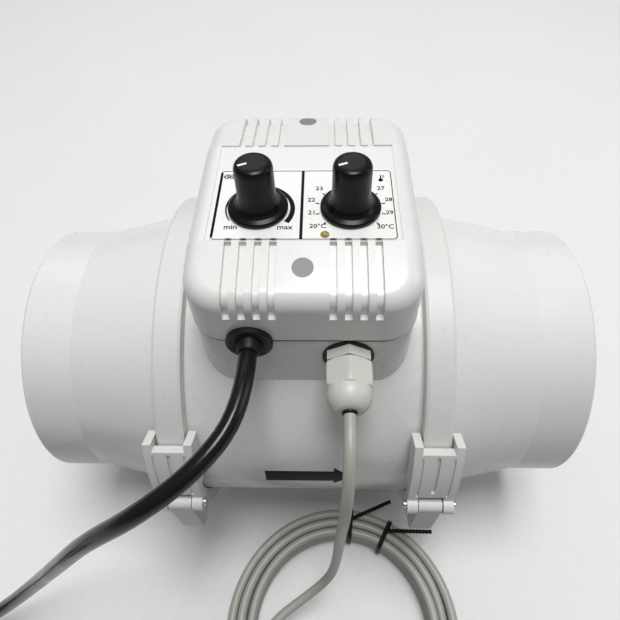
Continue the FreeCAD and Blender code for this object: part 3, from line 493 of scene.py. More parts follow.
@dataclass(frozen=True)
class PrintInk(Recipe):
    """Screen-printed ink: slightly uneven, with pinholes."""

    colour: Colour
    roughness: float = 0.5
    gloss: float = 0.5

    def dress(self, bench: Bench) -> None:
        """Lay colour, roughness and relief on the bench."""
        bench.value("Specular IOR Level", self.gloss)
        base = bench.ramp(bench.noise(1400.0, 3.0, 0.7),
                          [(0.3, self.colour), (0.75, tuple(c + 0.006 for c in self.colour))])
        bench.feed(base, "Base Color")
        bench.feed(bench.spread(bench.noise(700.0), self.roughness - 0.08,
                                self.roughness + 0.08), "Roughness")
        bench.relief([(bench.noise(2200.0, 2.0), 0.25, 0.00002)])


@dataclass(frozen=True)
class TintedLens(Recipe):
    """Small amber indicator lens with a glossy skin."""

    colour: Colour = (0.42, 0.30, 0.09)

    def dress(self, bench: Bench) -> None:
        """Lay colour, roughness and relief on the bench."""
        glow = bench.ramp(bench.noise(500.0), [(0.3, shade(self.colour, 0.6)),
                                               (0.7, shade(self.colour, 1.3))])
        bench.feed(glow, "Base Color")
        bench.feed(bench.spread(bench.noise(900.0), 0.1, 0.22), "Roughness")
        bench.relief([(bench.noise(1600.0), 0.15, 0.00003)])
        bench.value("Coat Weight", 0.6)


@dataclass(frozen=True)
class PaperFloor(Recipe):
    """Pale studio paper with a soft tooth."""

    colour: Colour = (0.86, 0.86, 0.86)

    def dress(self, bench: Bench) -> None:
        """Lay colour, roughness and relief on the bench."""
        cloud = bench.ramp(bench.noise(6.0, 5.0, 0.6),
                           [(0.3, shade(self.colour, 0.975)), (0.7, self.colour)])
        tooth = bench.ramp(bench.noise(420.0, 4.0, 0.7),
                           [(0.3, (0.955, 0.955, 0.955)), (0.7, (1, 1, 1))])
        bench.feed(bench.multiply(cloud, tooth, 1.0), "Base Color")
        bench.feed(bench.spread(bench.noise(200.0), 0.8, 0.95), "Roughness")
        bench.relief([(bench.noise(520.0, 4.0, 0.7), 0.3, 0.0003)])


class Finish(Enum):
    """Named finishes of the fan, each with the record slot that it stands for."""

    WHITE_ABS = ("white_plastic", MouldedPlastic((0.78, 0.78, 0.765), roughness=0.25,
                                                 grain_depth=0.000015))
    WHITE_NYLON = ("white_satin", MouldedPlastic((0.72, 0.72, 0.705), roughness=0.42, grain=1100.0))
    FAN_PLASTIC = ("fan_grey", MouldedPlastic((0.56, 0.56, 0.56), roughness=0.4))
    KNOB_BLACK = ("black_plastic", MouldedPlastic((0.003, 0.003, 0.0033), roughness=0.26,
                                                  grain=1700.0, drift=0.2, gloss=0.22))
    POINTER_WHITE = ("white_ink", PrintInk((0.85, 0.85, 0.84)))
    CAP_GREY = ("grey_cap", MouldedPlastic((0.23, 0.23, 0.23), roughness=0.4))
    LABEL_FILM = ("label_film", MouldedPlastic((0.84, 0.84, 0.82), roughness=0.26, grain=2400.0,
                                               grain_depth=0.00001, drift=0.02, coat=0.3))
    AMBER = ("brass_lens", TintedLens())
    GLAND_NYLON = ("gland_grey", MouldedPlastic((0.62, 0.62, 0.575), roughness=0.36, grain=900.0))
    BLACK_RUBBER = ("black_rubber", Elastomer((0.006, 0.006, 0.0065), gloss=0.25))
    FOAM_GREY = ("grey_rubber", Elastomer((0.12, 0.12, 0.12), roughness=0.7))
    BRIGHT_STEEL = ("steel", Metal((0.68, 0.68, 0.67)))
    CORE_STEEL = ("dark_steel", Metal((0.3, 0.3, 0.31), roughness=0.4, laminations=320.0))
    CAST_ALLOY = ("zinc", Metal((0.6, 0.6, 0.59), roughness=0.42, brushing=(60, 60, 60)))
    COPPER = ("copper", Winding())
    BOARD = ("board_green", SolderMask())
    BLUE_CASE = ("component_blue", MouldedPlastic((0.02, 0.05, 0.2), roughness=0.25))
    INK_BLACK = ("black_plastic", PrintInk((0.004, 0.004, 0.004), gloss=0.08))
    MAINS_SHEATH = ("black_rubber", Elastomer((0.003, 0.003, 0.0034), roughness=0.2, bloom=0.4,
                                              pores=600.0, gloss=0.34, wave=0.03))
    SENSOR_SHEATH = ("grey_sheath", Elastomer((0.36, 0.36, 0.325), roughness=0.36, bloom=0.12,
                                              pores=700.0))
    PAPER = ("none", PaperFloor())

    @property
    def slot_name(self) -> str:
        """The record's material slot."""
        return self.value[0]

    @property
    def material(self) -> bpy.types.Material:
        """The built material, made once."""
        known = bpy.data.materials.get("fin_" + self.name.lower())
        return known or self.value[1].make("fin_" + self.name.lower())


SLOT_FINISH = {f.slot_name: f for f in reversed(Finish)
               if f not in (Finish.INK_BLACK, Finish.MAINS_SHEATH, Finish.PAPER)}


@dataclass
class FrameDresser:
    """Gives every CAD node its procedural finish."""

    special: dict[str, Finish] = field(default_factory=lambda: {
        "mains_plug": Finish.MAINS_SHEATH, "sensor_probe": Finish.BLACK_RUBBER})

    def dress(self) -> None:
        """Assign each node's material by its record slot."""
        slots = {s["node"]: s["material_slot"] for s in frame["record"]["subparts"]}
        for node, obj in frame["nodes"].items():
            finish = self.special.get(node) or SLOT_FINISH[slots[node]]
            obj.data.materials.clear()
            obj.data.materials.append(finish.material)
        LOG.info("dressed %d frame nodes", len(frame["nodes"]))


# ---- camera and studio -------------------------------------------------------


@dataclass
class CameraRig:
    """A camera above the front of the fan, looking down at the terminal box."""

    place: Point = (0.008548, -0.154434, 0.327008)
    forward: Point = (-0.02764852, 0.59684582, -0.80187943)
    up: Point = (-0.00262797, 0.80213993, 0.59713032)
    lens: float = 30.51
    sensor: float = 36.0

    def build(self) -> Piece:
        """Create the scene's camera."""
        data = bpy.data.cameras.new("camera")
        data.lens, data.sensor_width = self.lens, self.sensor
        data.clip_start, data.clip_end = 0.01, 20.0
        camera = bpy.data.objects.new("camera", data)
        bpy.context.collection.objects.link(camera)
        back = -Vector(self.forward).normalized()
        up = Vector(self.up).normalized()
        side = up.cross(back).normalized()
        turn = Matrix((side, up, back)).transposed().to_4x4()
        camera.matrix_world = Matrix.Translation(self.place) @ turn
        bpy.context.scene.camera = camera
        LOG.info("camera placed")
        return camera


@dataclass(frozen=True)
class SoftLight:
    """One rectangular studio light."""

    name: str
    place: Point
    aim: Point
    size: Pair
    power: float

    def build(self) -> None:
        """Create the light and aim it."""
        data = bpy.data.lights.new(self.name, "AREA")
        data.shape, data.size, data.size_y = "RECTANGLE", *self.size
        data.energy = self.power
        light = bpy.data.objects.new(self.name, data)
        bpy.context.collection.objects.link(light)
        light.location = self.place
        light.rotation_mode = "QUATERNION"
        light.rotation_quaternion = (Vector(self.aim) - Vector(self.place)).to_track_quat("-Z", "Y")


@dataclass
class Studio:
    """Pale paper floor, soft lights and an even surround."""

    lights: tuple[SoftLight, ...] = (
        SoftLight("key_top", (0.12, -0.02, 1.9), (0.0, 0.0, 0.05), (0.9, 0.6), 24.0),
        SoftLight("back_fill", (-0.3, 1.1, 1.3), (0.0, 0.2, 0.05), (1.2, 0.6), 3.0),
        SoftLight("side_right", (1.3, 0.2, 0.6), (0.0, 0.0, 0.1), (0.4, 0.9), 1.6),
    )
    surround: Pair = (0.17, 0.34)
    sky_up: Point = (0.0, 0.42, 0.91)
    sky_range: Pair = (-0.25, 0.9)
    floor_size: float = 30.0
    floor_place: Point = (0.0, 0.9, -0.0004)

    def build(self) -> None:
        """Create the floor, lights and world."""
        deselect()
        bpy.ops.mesh.primitive_grid_add(x_subdivisions=2, y_subdivisions=2, size=self.floor_size,
                                        location=self.floor_place)
        floor = settle(bpy.context.object, "paper_floor")
        floor.data.materials.append(Finish.PAPER.material)
        for light in self.lights:
            light.build()
        floor.visible_diffuse = False
        bpy.context.scene.world = self.sky()
        bpy.context.scene.view_settings.view_transform = "Standard"
        LOG.info("studio set")

    def sky(self) -> bpy.types.World:
        """A surround that is bright overhead and behind, and dim in front and below.

        Returns:
            The world.
        """
        world = bpy.data.worlds.new("surround")
        world.use_nodes = True
        tree = world.node_tree
        coords = tree.nodes.new("ShaderNodeTexCoord")
        slope = tree.nodes.new("ShaderNodeVectorMath")
        slope.operation = "DOT_PRODUCT"
        slope.inputs[1].default_value = self.sky_up
        span = tree.nodes.new("ShaderNodeMapRange")
        for key, number in zip(("From Min", "From Max", "To Min", "To Max"),
                               self.sky_range + self.surround):
            span.inputs[key].default_value = number
        tree.links.new(coords.outputs["Generated"], slope.inputs[0])
        tree.links.new(slope.outputs["Value"], span.inputs["Value"])
        background = tree.nodes["Background"]
        background.inputs["Color"].default_value = (1.0, 1.0, 1.0, 1.0)
        tree.links.new(span.outputs["Result"], background.inputs["Strength"])
        return world


# ---- cords -------------------------------------------------------------------


@dataclass(frozen=True)
class Shift:
    """Where in its turn a strand moves over to the next station, as fractions of the turn."""

    start: float
    end: float

    def share(self, fraction: float) -> float:
        """How far over the strand is, smoothly from 0 to 1."""
        t = min(1.0, max(0.0, (fraction - self.start) / (self.end - self.start)))
        return t * t * (3 - 2 * t)


@dataclass
class Coil:
    """A neat hank: strands that wind from station to station round a centre."""

    centre: Pair
    stations: list[Pair]
    shifts: list[Shift]
    entry: float
    per_turn: int = 16
    overrun: float = 0.0

    def points(self) -> list[Point]:
        """Control points of all the turns, in metres.

        Returns:
            One point every sixteenth of a turn, pushed out so that the smooth line has the
            true radius.
        """
        n = self.per_turn
        push = 1.0 / (0.5 * (math.cos(math.pi / n) + 0.75 + 0.25 * math.cos(2 * math.pi / n)))
        found = []
        turns = len(self.stations)
        for step in range(int(turns * n + self.overrun * n) + 1):
            turn, fraction = min(step // n, turns - 1), (step % n) / n
            if step >= turns * n:
                fraction = 1.0
            here = self.stations[turn]
            there = self.stations[min(turn + 1, turns - 1)]
            t = self.shifts[turn].share(fraction) if turn + 1 < turns else 0.0
            radius = (here[0] + (there[0] - here[0]) * t) * push
            height = here[1] + (there[1] - here[1]) * t
            angle = math.radians(self.entry) + 2 * math.pi * step / n
            found.append((self.centre[0] + radius * math.cos(angle),
                          self.centre[1] + radius * math.sin(angle), height))
        return [metres(p) for p in found]


@dataclass
class Lead:
    """A free cord: its run from the fan, its coil and its end run."""

    name: str
    diameter: float
    length: float
    far_end: str
    finish: Finish
    run: list[Point]
    coil: Coil
    tail: list[Point]
    replaced: tuple[str, ...]
    pieces: tuple[str, ...]
    stiffness: str = "medium"

    def build(self) -> Piece:
        """Returns:
            The curve object.
        """
        points = [metres(p) for p in self.run] + self.coil.points() + [metres(p) for p in self.tail]
        data = bpy.data.curves.new(self.name, "CURVE")
        data.dimensions = "3D"
        data.bevel_depth = self.diameter / 2
        data.bevel_resolution = 4
        data.resolution_u = 6
        data.use_fill_caps = True
        spline = data.splines.new("NURBS")
        spline.points.add(len(points) - 1)
        for control, point in zip(spline.points, points):
            control.co = (*point, 1.0)
        spline.order_u = 3
        spline.use_endpoint_u = True
        obj = bpy.data.objects.new(self.name, data)
        bpy.context.collection.objects.link(obj)
        data.materials.append(self.finish.material)
        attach(obj, HOUSING)
        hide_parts(*self.replaced)
        LOG.info("%s laid through %d points", self.name, len(points))
        return obj


def mains_lead() -> Lead:
    """The black mains lead: out of the grommet, down to the left, coiled, and on to its plug.

    Returns:
        The lead, ready to build.
    """
    outer, middle, inner, low, high = 41.5, 34.7, 27.9, 3.45, 10.25
    stations = [(outer, low), (middle, low), (inner, low), (inner, high), (middle, high),
                (outer, high)]
    late, mid, early = Shift(0.66, 0.92), Shift(0.36, 0.62), Shift(0.06, 0.32)
    coil = Coil((-238.0, -180.0), stations, [late, late, mid, early, early, early], 96.0)
    run = [(-18.5, -56.4, 169.0), (-18.5, -77.4, 169.0), (-30.0, -96.4, 167.0),
           (-49.0, -109.4, 160.0), (-72.5, -112.4, 138.0), (-95.5, -113.4, 104.0),
           (-121.5, -113.4, 64.0), (-150.0, -119.0, 30.0), (-174.0, -126.0, 11.0),
           (-203.0, -132.5, 3.45), (-224.0, -137.0, 3.45)]
    tail = [(-268.0, -140.0, 9.25), (-295.0, -148.5, 6.65), (-322.0, -155.5, 18.1),
            (-342.0, -155.5, 18.1)]
    return Lead("mains_lead", 6.8 * MM, 1.75, "plug", Finish.MAINS_SHEATH, run, coil, tail,
                ("mains_cord", "mains_cord_coil", "mains_cord_tail"),
                ("plug_body", "plug_relief", "plug_pins", "mains_ties"))


def sensor_lead() -> Lead:
    """The grey sensor lead: out of the gland, down in front, coiled, and on to its probe.

    Returns:
        The lead, ready to build.
    """
    radii, heights = (47.2, 51.95, 56.65), (2.35, 7.03, 11.72, 16.4)
    stations = ([(radii[0], h) for h in reversed(heights)] + [(radii[1], h) for h in heights]
                + [(radii[2], h) for h in reversed(heights)])
    slots = [Shift(0.02 + 0.19 * k, 0.02 + 0.19 * k + 0.17) for k in range(5)]
    shifts = [slots[4]] * 3 + [slots[3]] + [slots[2]] * 3 + [slots[1]] + [slots[0]] * 4
    coil = Coil((18.0, -125.0), stations, shifts, 195.0, overrun=75 / 360)
    run = [(17.5, -74.4, 158.0), (17.5, -83.4, 158.0), (17.1, -92.4, 152.5), (16.7, -97.9, 141.5),
           (16.3, -99.9, 120.0), (15.3, -98.9, 88.0), (14.7, -100.4, 54.0), (11.5, -104.4, 33.0),
           (0.0, -110.9, 20.9), (-16.5, -121.5, 16.8)]
    tail = [(46.0, -183.15, 2.35), (72.0, -190.65, 2.35), (96.0, -205.65, 2.35)]
    return Lead("sensor_lead", 4.6 * MM, 4.0, "fitting", Finish.SENSOR_SHEATH, run, coil, tail,
                ("sensor_cord", "sensor_cord_coil", "sensor_cord_tail"),
                ("sensor_probe", "sensor_ties"), "limp")


# ---- printed and small parts -------------------------------------------------


def ribbon(line: Sequence[Point], height: float,
           thick: float = 0.06) -> Piece:
    """A printed line: a strip of a grid laid along points, with its own width at each.

    Args:
        line: x, y and width at each point, in millimetres.
        height: the surface printed on, in millimetres.
        thick: the ink's height above the surface.

    Returns:
        The strip as a thin closed solid.
    """
    deselect()
    bpy.ops.mesh.primitive_grid_add(x_subdivisions=len(line) - 1, y_subdivisions=1, size=1.0)
    obj = bpy.context.object
    spots = [Vector((x, y)) for x, y, _ in line]
    ordered = sorted(obj.data.vertices, key=lambda v: (round(v.co.x, 6), v.co.y))
    for k, (_, _, width) in enumerate(line):
        along = (spots[min(k + 1, len(line) - 1)] - spots[max(k - 1, 0)]).normalized()
        across = Vector((-along.y, along.x)) * width / 2
        for vertex, sign in zip(ordered[2 * k:2 * k + 2], (-1, 1)):
            spot = spots[k] + across * sign
            vertex.co = (spot.x * MM, spot.y * MM, height * MM)
    apply_modifier(obj, "SOLIDIFY", thickness=thick * MM, offset=1.0)
    return obj


def arc_line(centre: Pair, radii: Pair, angles: Pair,
             widths: Pair, steps: int = 32) -> list[Point]:
    """Points and widths along an arc whose radius and width grow evenly.

    Args:
        centre: the arc's centre in millimetres.
        radii: its radius at the start and at the end.
        angles: the start and the end in degrees.
        widths: its width at the start and at the end.
        steps: how many pieces it has.

    Returns:
        x, y and width at each point.
    """
    found = []
    for k in range(steps + 1):
        t = k / steps
        radius = radii[0] + (radii[1] - radii[0]) * t
        angle = math.radians(angles[0] + (angles[1] - angles[0]) * t)
        found.append((centre[0] + radius * math.cos(angle), centre[1] + radius * math.sin(angle),
                      widths[0] + (widths[1] - widths[0]) * t))
    return found


def joined(parts: Sequence[Piece], name: str) -> Piece:
    """Join finished meshes into one piece at the origin.

    Args:
        parts: the meshes.
        name: the piece's name.

    Returns:
        The piece.
    """
    activate(parts[0])
    for part in parts[1:]:
        part.select_set(True)
    bpy.ops.object.join()
    return settle(bpy.context.object, name)


@dataclass
class ControlPrint:
    """Black print on the control label: frame, two scales, figures and two small pictures."""

    surface: float = 195.79
    frame_box: tuple[float, float, float, float] = (-31.5, 33.7, -26.2, 10.4)
    corner: float = 1.4
    line_width: float = 0.34
    speed: Pair = (-15.7, -10.75)
    thermostat: Pair = (17.9, -10.75)
    tick_start: float = 219.5
    tick_step: float = 25.9
    bold: float = 0.045
    ink: float = 0.03
    figures: tuple[tuple[str, float, float, float], ...] = (
        ("min", -24.9, -20.3, 3.3), ("max", -5.6, -20.4, 3.3), ("20\u00b0C", 6.1, -19.9, 2.9),
        ("21", 3.9, -13.0, 2.9), ("22", 3.6, -6.2, 2.9), ("23", 6.5, 0.1, 2.9), ("24", 12.9, 3.4, 2.7),
        ("25", 17.9, 5.0, 2.9), ("26", 23.4, 3.4, 2.7), ("27", 29.5, 0.1, 2.9), ("28", 32.0, -6.1, 2.7),
        ("29", 31.9, -13.0, 2.7), ("30\u00b0C", 29.9, -20.2, 2.9))
    slot_marks: tuple[float, ...] = tuple(1.1 + g * 18.3 + (k - 1.5) * 5.25
                                          for g in (-1, 1) for k in range(4))

    def frame_lines(self) -> list[Piece]:
        """The rounded frame, its heavy left side, the divider and the marks at the slots.

        Returns:
            The printed strips.
        """
        x0, x1, y0, y1 = self.frame_box
        c, w = self.corner, self.line_width
        loop = []
        for cx, cy, start in ((x1 - c, y1 - c, 0), (x0 + c, y1 - c, 90), (x0 + c, y0 + c, 180),
                              (x1 - c, y0 + c, 270)):
            loop += arc_line((cx, cy), (c, c), (start, start + 90), (w, w), 6)
        loop.append((x1, y1 - c, w))
        lines = [ribbon(loop, self.surface)]
        side = x0 + 0.35
        lines.append(ribbon([(side, y0 + 1.0, 0.9), (side, 0, 1.0), (side, y1 - 1.0, 0.9)], self.surface))
        lines.append(ribbon([(0.2, y0, 1.1), (0.2, 0.0, 1.1), (0.2, y1, 1.1)], self.surface))
        for x in self.slot_marks:
            lines.append(ribbon([(x - 1.3, y0, 0.5), (x, y0, 0.9), (x + 1.3, y0, 0.5)], self.surface))
        return lines

    def scales(self) -> list[Piece]:
        """The swelling speed arc and the thermostat's eleven ticks.

        Returns:
            The printed strips.
        """
        swell = arc_line(self.speed, (11.7, 12.7), (212.0, -34.0), (0.45, 2.0), 56)
        found = [ribbon(swell, self.surface)]
        for k in range(11):
            angle = math.radians(self.tick_start - self.tick_step * k)
            spots = [(self.thermostat[0] + r * math.cos(angle),
                      self.thermostat[1] + r * math.sin(angle), 0.5) for r in (11.6, 12.3, 13.0)]
            found.append(ribbon(spots, self.surface))
        return found

    def pictures(self) -> list[Piece]:
        """A fan with blades and a thermometer.

        Returns:
            The printed strips.
        """
        found = []
        for x in (-30.0, -27.9):
            centre = (x + 0.9, 7.2)
            ring = arc_line(centre, (1.15, 1.15), (0, 360), (0.3, 0.3), 20)
            found.append(ribbon(ring, self.surface))
            for turn in (20, 140, 260):
                blade = arc_line(centre, (0.15, 1.0), (turn, turn + 70), (0.3, 0.5), 6)
                found.append(ribbon(blade, self.surface))
        bulb = (29.75, 4.9)
        found.append(ribbon(arc_line(bulb, (0.45, 0.45), (0, 360), (0.9, 0.9), 20), self.surface))
        found.append(ribbon([(29.75, 5.2, 0.5), (29.75, 6.6, 0.5), (29.75, 7.9, 0.4)], self.surface))
        for k in range(3):
            found.append(ribbon([(x, 6.2 + 0.7 * k, 0.22) for x in (30.3, 30.7, 31.2)], self.surface))
        return found

    def lettering(self) -> list[Piece]:
        """Scale figures and the words min and max.

        Returns:
            The letters as thin solids.
        """
        found = []
        for words, x, y, size in self.figures:
            deselect()
            bpy.ops.object.text_add(location=(0, 0, 0))
            text = bpy.context.object
            text.data.body = words
            text.data.size = size * MM
            text.data.align_x, text.data.align_y = "CENTER", "CENTER"
            text.data.offset = self.bold * MM
            text.data.extrude = self.ink * MM
            text.data.resolution_u = 3
            bpy.ops.object.convert(target="MESH")
            text = bpy.context.object
            text.location = (x * MM, y * MM, (self.surface + self.ink) * MM)
            found.append(settle(text, "figure"))
        return found

    def build(self) -> Piece:
        """Print everything as one piece."""
        parts = self.frame_lines() + self.scales() + self.pictures() + self.lettering()
        return place(joined(parts, "control_print"), Finish.INK_BLACK)


@dataclass
class FlowArrow:
    """The black flow arrow on the front of the casing, which follows its curve."""

    radius: float = 72.78
    axis_height: float = 86.0
    shaft: Pair = (-18.0, 13.0)
    head_end: float = 21.0
    middle: float = 176.2
    half_shaft: float = 3.9
    half_head: float = 6.4
    relief: float = 0.22

    def build(self) -> Piece:
        """Lay a strip of a grid on the casing and give it a wall.

        Returns:
            The arrow, riding on the housing.
        """
        stops = [self.shaft[0], self.shaft[0] + 10, self.shaft[1], self.shaft[1] + 0.01, self.head_end]
        halves = [self.half_shaft, self.half_shaft, self.half_shaft, self.half_head, 0.1]
        rows = 10
        deselect()
        bpy.ops.mesh.primitive_grid_add(x_subdivisions=len(stops) - 1, y_subdivisions=rows, size=1.0)
        obj = bpy.context.object
        ordered = sorted(obj.data.vertices, key=lambda v: (round(v.co.x, 6), v.co.y))
        for k, vertex in enumerate(ordered):
            column, row = divmod(k, rows + 1)
            angle = math.radians(self.middle + halves[column] * (2 * row / rows - 1))
            vertex.co = (stops[column] * MM, self.radius * math.cos(angle) * MM,
                         (self.axis_height + self.radius * math.sin(angle)) * MM)
        activate(obj)
        bpy.ops.object.mode_set(mode="EDIT")
        bpy.ops.mesh.select_all(action="SELECT")
        bpy.ops.mesh.normals_make_consistent(inside=False)
        bpy.ops.object.mode_set(mode="OBJECT")
        if sum(p.normal.y for p in obj.data.polygons) > 0:
            obj.data.flip_normals()
        apply_modifier(obj, "SOLIDIFY", thickness=self.relief * MM, offset=1.0)
        return place(settle(obj, "flow_arrow"), Finish.INK_BLACK)


@dataclass
class GlandWasher:
    """Black sealing washer between the gland's hexagon and the box."""

    centre: Point = (17.5, -49.9, 158.0)
    radii: Pair = (7.9, 9.75)
    thickness: float = 0.8

    def build(self) -> Piece:
        """Turn the washer."""
        (r0, r1), t = self.radii, self.thickness
        profile = [(r0, 0.0), (r1 - 0.1, 0.0), (r1, 0.2), (r1, t - 0.2), (r1 - 0.2, t), (r0, t),
                   (r0, 0.0)]
        obj = spun("gland_washer", profile, self.centre, "-Y", 72)
        return place(obj, Finish.BLACK_RUBBER)


@dataclass
class GlandNut:
    """The gland's clamping nut: six flats with rounded corners that run into a full dome."""

    centre: Point = (17.5, -54.9, 158.0)
    flat: float = 8.3
    mouth: float = 4.5
    lip_depth: float = 10.0

    def build(self) -> None:
        """Press a turned blank's sides into six flats, and turn the lip in its mouth."""
        profile = [(2.9, 0.0), (8.6, 0.0), (9.3, 0.4), (9.5, 1.0), (9.5, 3.0), (9.5, 5.0),
                   (9.5, 7.0), (9.45, 9.0), (9.0, 10.0), (8.4, 10.5), (8.45, 11.4), (8.4, 12.6),
                   (8.0, 14.2), (7.3, 15.7), (6.3, 17.0), (5.1, 17.9), (4.0, 18.3), (2.9, 18.4),
                   (2.9, 0.0)]
        nut = spun("gland_nut", profile, (0, 0, 0), "-Y", 144)
        for vertex in nut.data.vertices:
            radius = math.hypot(vertex.co.x, vertex.co.z)
            if radius < self.mouth * MM:
                continue
            angle = math.atan2(vertex.co.z, vertex.co.x)
            offset = (angle + math.pi / 6) % (math.pi / 3) - math.pi / 6
            wall = self.flat * MM / math.cos(offset)
            kept = min(radius, wall)
            vertex.co.x *= kept / radius
            vertex.co.z *= kept / radius
        nut.location = metres(self.centre)
        nut = settle(nut, "gland_nut")
        bpy.ops.object.shade_smooth_by_angle(angle=math.radians(24))
        place(nut, Finish.GLAND_NYLON)
        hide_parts("gland_dome_nut")
        lip = [(2.35, 0.0), (2.9, 0.0), (2.9, 8.6), (2.7, 9.1), (2.35, 9.1), (2.35, 0.0)]
        x, y, z = self.centre
        seal = spun("gland_lip", lip, (x, y - self.lip_depth, z), "-Y", 48)
        place(seal, Finish.BLACK_RUBBER)
        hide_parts("gland_seal")


@dataclass
class Grommet:
    """The mains lead's rubber grommet: a wide flange with a sunk face and a short soft collar."""

    centre: Point = (-18.5, -50.4, 169.0)

    def build(self) -> None:
        """Turn the grommet from its groove out to its collar."""
        profile = [(3.45, -5.6), (7.4, -5.6), (7.6, -5.2), (7.6, -3.6), (6.0, -3.6), (6.0, 0.0),
                   (8.3, 0.0), (8.55, 0.25), (8.6, 0.9), (8.55, 1.9), (8.25, 2.3), (7.7, 2.4),
                   (7.0, 2.2), (6.3, 1.5), (5.7, 1.3), (5.2, 1.5), (4.8, 2.4), (4.5, 3.8),
                   (4.3, 5.0), (4.05, 5.7), (3.75, 6.0), (3.45, 6.0), (3.45, -5.6)]
        piece = spun("mains_grommet", profile, self.centre, "-Y", 96)
        place(piece, Finish.BLACK_RUBBER)
        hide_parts("cable_grommet")


@dataclass
class SeamShadeStrip:
    """Painted shade: a dark rubber strip in the groove between the lid and the base, put there for the
    groove's shadow.
    """

    centre: Pair = (1.1, 2.8)
    size: Pair = (84.0, 106.4)
    corner: float = 14.0
    inset: float = 0.12
    width: float = 0.9
    height: float = 168.12
    depth: float = 0.8

    def build(self) -> Piece:
        """Lay a strip round the box and give it its height.

        Returns:
            The dark strip of painted shade, riding on the housing.
        """
        half_x, half_y = (side / 2 - self.inset - self.width / 2 for side in self.size)
        c = self.corner - self.inset
        loop = []
        for sx, sy, start in ((1, 1, 0), (-1, 1, 90), (-1, -1, 180), (1, -1, 270)):
            spot = (self.centre[0] + sx * (half_x - c), self.centre[1] + sy * (half_y - c))
            loop += arc_line(spot, (c, c), (start, start + 90), (self.width, self.width), 12)
        loop.append(loop[0])
        # painted shade: this black strip stands in for the shadow in the seam groove between lid and base
        strip = ribbon(loop, self.height, self.depth)
        return place(settle(strip, "seam_shade_strip"), Finish.BLACK_RUBBER)


@dataclass
class Plug:
    """Generic two-pin round plug: moulded body with grip ribs, ribbed cord relief and metal pins."""

    start: Point = (-342.0, -155.5, 18.1)
    pin_spacing: float = 19.0
    relief_start: float = 20.0
    pins_start: float = 39.0

    def build(self) -> None:
        """Turn the three pieces about the cord's axis."""
        x, y, z = self.start
        body = [(0.0, 0.0), (5.0, 0.0), (5.6, 5.0), (6.5, 12.0), (9.5, 13.2), (14.0, 14.0), (16.6, 16.0),
                (17.6, 18.6), (18.0, 21.0)]
        for k in range(5):
            h = 22.5 + 2.6 * k
            body += [(18.0, h), (17.5, h + 0.5), (17.5, h + 1.1), (18.0, h + 1.6)]
        body += [(18.0, 37.4), (17.6, 38.4), (16.8, 38.9), (0.0, 39.0)]
        piece = spun("plug_body", body, self.start, "-X", 72)
        place(piece, Finish.MAINS_SHEATH)
        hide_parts("mains_plug")
        relief = [(3.5, 0.0), (3.9, 0.0)]
        for k in range(6):
            h, r = 0.9 + 3.1 * k, 4.0 + 0.16 * k
            relief += [(r, h), (r + 0.25, h + 0.4), (r + 0.25, h + 1.5), (r - 0.35, h + 1.9),
                       (r - 0.35, h + 2.7)]
        relief += [(5.0, 20.2), (3.5, 20.2), (3.5, 0.0)]
        sleeve = spun("plug_relief", relief, (x + self.relief_start, y, z), "-X", 48)
        place(sleeve, Finish.MAINS_SHEATH)
        pins = []
        for side in Side:
            profile = [(0.0, -1.0), (2.35, -1.0), (2.4, 0.0), (2.4, 17.2), (2.1, 18.4),
                       (1.3, 18.9), (0.0, 19.0)]
            spot = (x - self.pins_start, y + side.value * self.pin_spacing / 2, z)
            pins.append(spun("pin", profile, spot, "-X", 32))
        place(joined(pins, "plug_pins"), Finish.BRIGHT_STEEL)


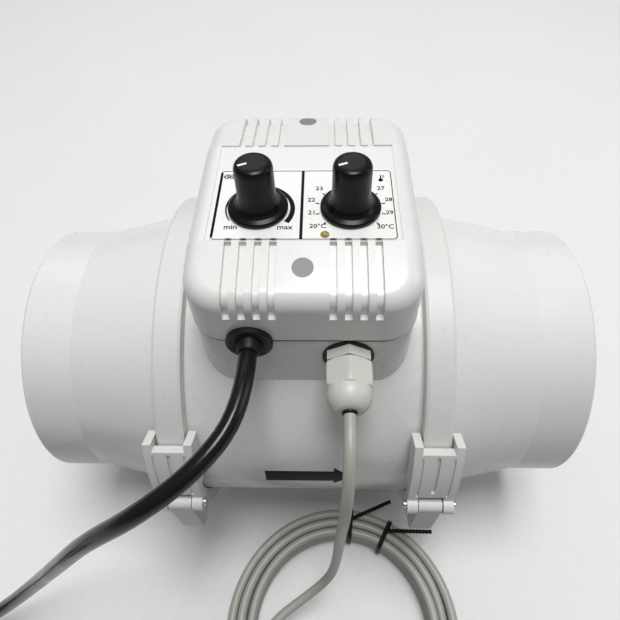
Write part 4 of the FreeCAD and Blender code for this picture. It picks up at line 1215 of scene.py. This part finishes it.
@dataclass
class WireTies:
    """Twisted black wire ties round the two hanks, with their twisted ends."""

    sensor: Hank = (18.0, -125.0, 59.0, 14.2, 18.8)
    mains: Hank = (-238.0, -180.0, 45.0, 21.0, 14.2)
    wire: float = 0.62
    gap: float = 0.65
    steps: int = 44
    step: float = 0.58
    twist: float = math.pi / 3.2

    def strand(self, spots: Sequence[Point], closed: bool) -> Piece:
        """One wire of a tie.

        Args:
            spots: the points that it follows, in metres.
            closed: whether it is a ring.

        Returns:
            The wire.
        """
        data = bpy.data.curves.new("strand", "CURVE")
        data.dimensions = "3D"
        data.bevel_depth, data.bevel_resolution, data.resolution_u = self.wire * MM, 2, 4
        data.use_fill_caps = True
        spline = data.splines.new("NURBS")
        spline.points.add(len(spots) - 1)
        for control, spot in zip(spline.points, spots):
            control.co = (*spot, 1.0)
        spline.order_u = 3
        spline.use_cyclic_u = closed
        spline.use_endpoint_u = not closed
        obj = bpy.data.objects.new("strand", data)
        bpy.context.collection.objects.link(obj)
        return settle(obj, "strand")

    def tie(self, spec: Hank, angle: float,
            turn: float) -> list[Piece]:
        """A hoop of two wires round a hank and its twisted end.

        Args:
            spec: the hank's centre, outer radius, width and height in millimetres.
            angle: where on the hank, in degrees.
            turn: how far the end is turned from the hank's radius.

        Returns:
            The strands.
        """
        cx, cy, outer, width, height = spec
        middle, reach, top = outer - width / 2, width / 2 + 0.75, height + 0.6
        radial = Vector((math.cos(math.radians(angle)), math.sin(math.radians(angle)), 0))
        across = Vector((-radial.y, radial.x, 0))
        origin = Vector((cx, cy, 0)) + radial * middle
        section = [(-reach, 0.75), (-reach, top * 0.5), (-reach, top - 2.0), (-reach + 2.0, top),
                   (0, top + 0.1), (reach - 2.0, top), (reach, top - 2.0), (reach, top * 0.5),
                   (reach, 0.75), (0, 0.7)]
        found = []
        for offset in (-self.gap, self.gap):
            spots = [tuple((origin + radial * u + across * offset + Vector((0, 0, h))) * MM)
                     for u, h in section]
            found.append(self.strand(spots, True))
        heading = math.radians(angle + turn)
        along = Vector((math.cos(heading), math.sin(heading), 0))
        side = Vector((-along.y, along.x, 0))
        root = origin + radial + Vector((0, 0, top + 1.0))
        for phase in (0.0, math.pi):
            spots = []
            for k in range(self.steps):
                grip = self.wire if k > 1 else 0.4
                spin = phase + k * self.twist
                rise = 0.5 * math.sin(min(1.0, k / 24) * math.pi) - 0.6 * (k / (self.steps - 1)) ** 2
                spot = (root + along * (k * self.step) + side * (grip * math.cos(spin))
                        + Vector((0, 0, grip * math.sin(spin) + rise)))
                spots.append(tuple(spot * MM))
            found.append(self.strand(spots, False))
        return found

    def build(self) -> None:
        """Make the ties of each hank as one piece; together they stand for the frame's ties."""
        for name, spec, turns in (
                ("sensor_ties", self.sensor, ((84.0, -60.0), (62.0, -62.0), (236.0, 20.0))),
                ("mains_ties", self.mains, ((200.0, 40.0), (18.0, 30.0)))):
            parts = [strand for angle, turn in turns for strand in self.tie(spec, angle, turn)]
            piece = place(joined(parts, name), Finish.BLACK_RUBBER)
            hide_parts("cord_ties")


# ---- whole -------------------------------------------------------------------


def main() -> None:
    """Build the whole scene, piece by piece."""
    logging.basicConfig(level=logging.INFO, format="%(name)s: %(message)s")
    deselect()
    CameraRig().build()
    Studio().build()
    FrameDresser().dress()
    Plug().build()
    WireTies().build()
    for lead in (mains_lead(), sensor_lead()):
        lead.build()
    ControlPrint().build()
    FlowArrow().build()
    GlandWasher().build()
    GlandNut().build()
    Grommet().build()
    # the dark strip in the lid seam is painted shade
    SeamShadeStrip().build()


if __name__ == "__main__":
    main()
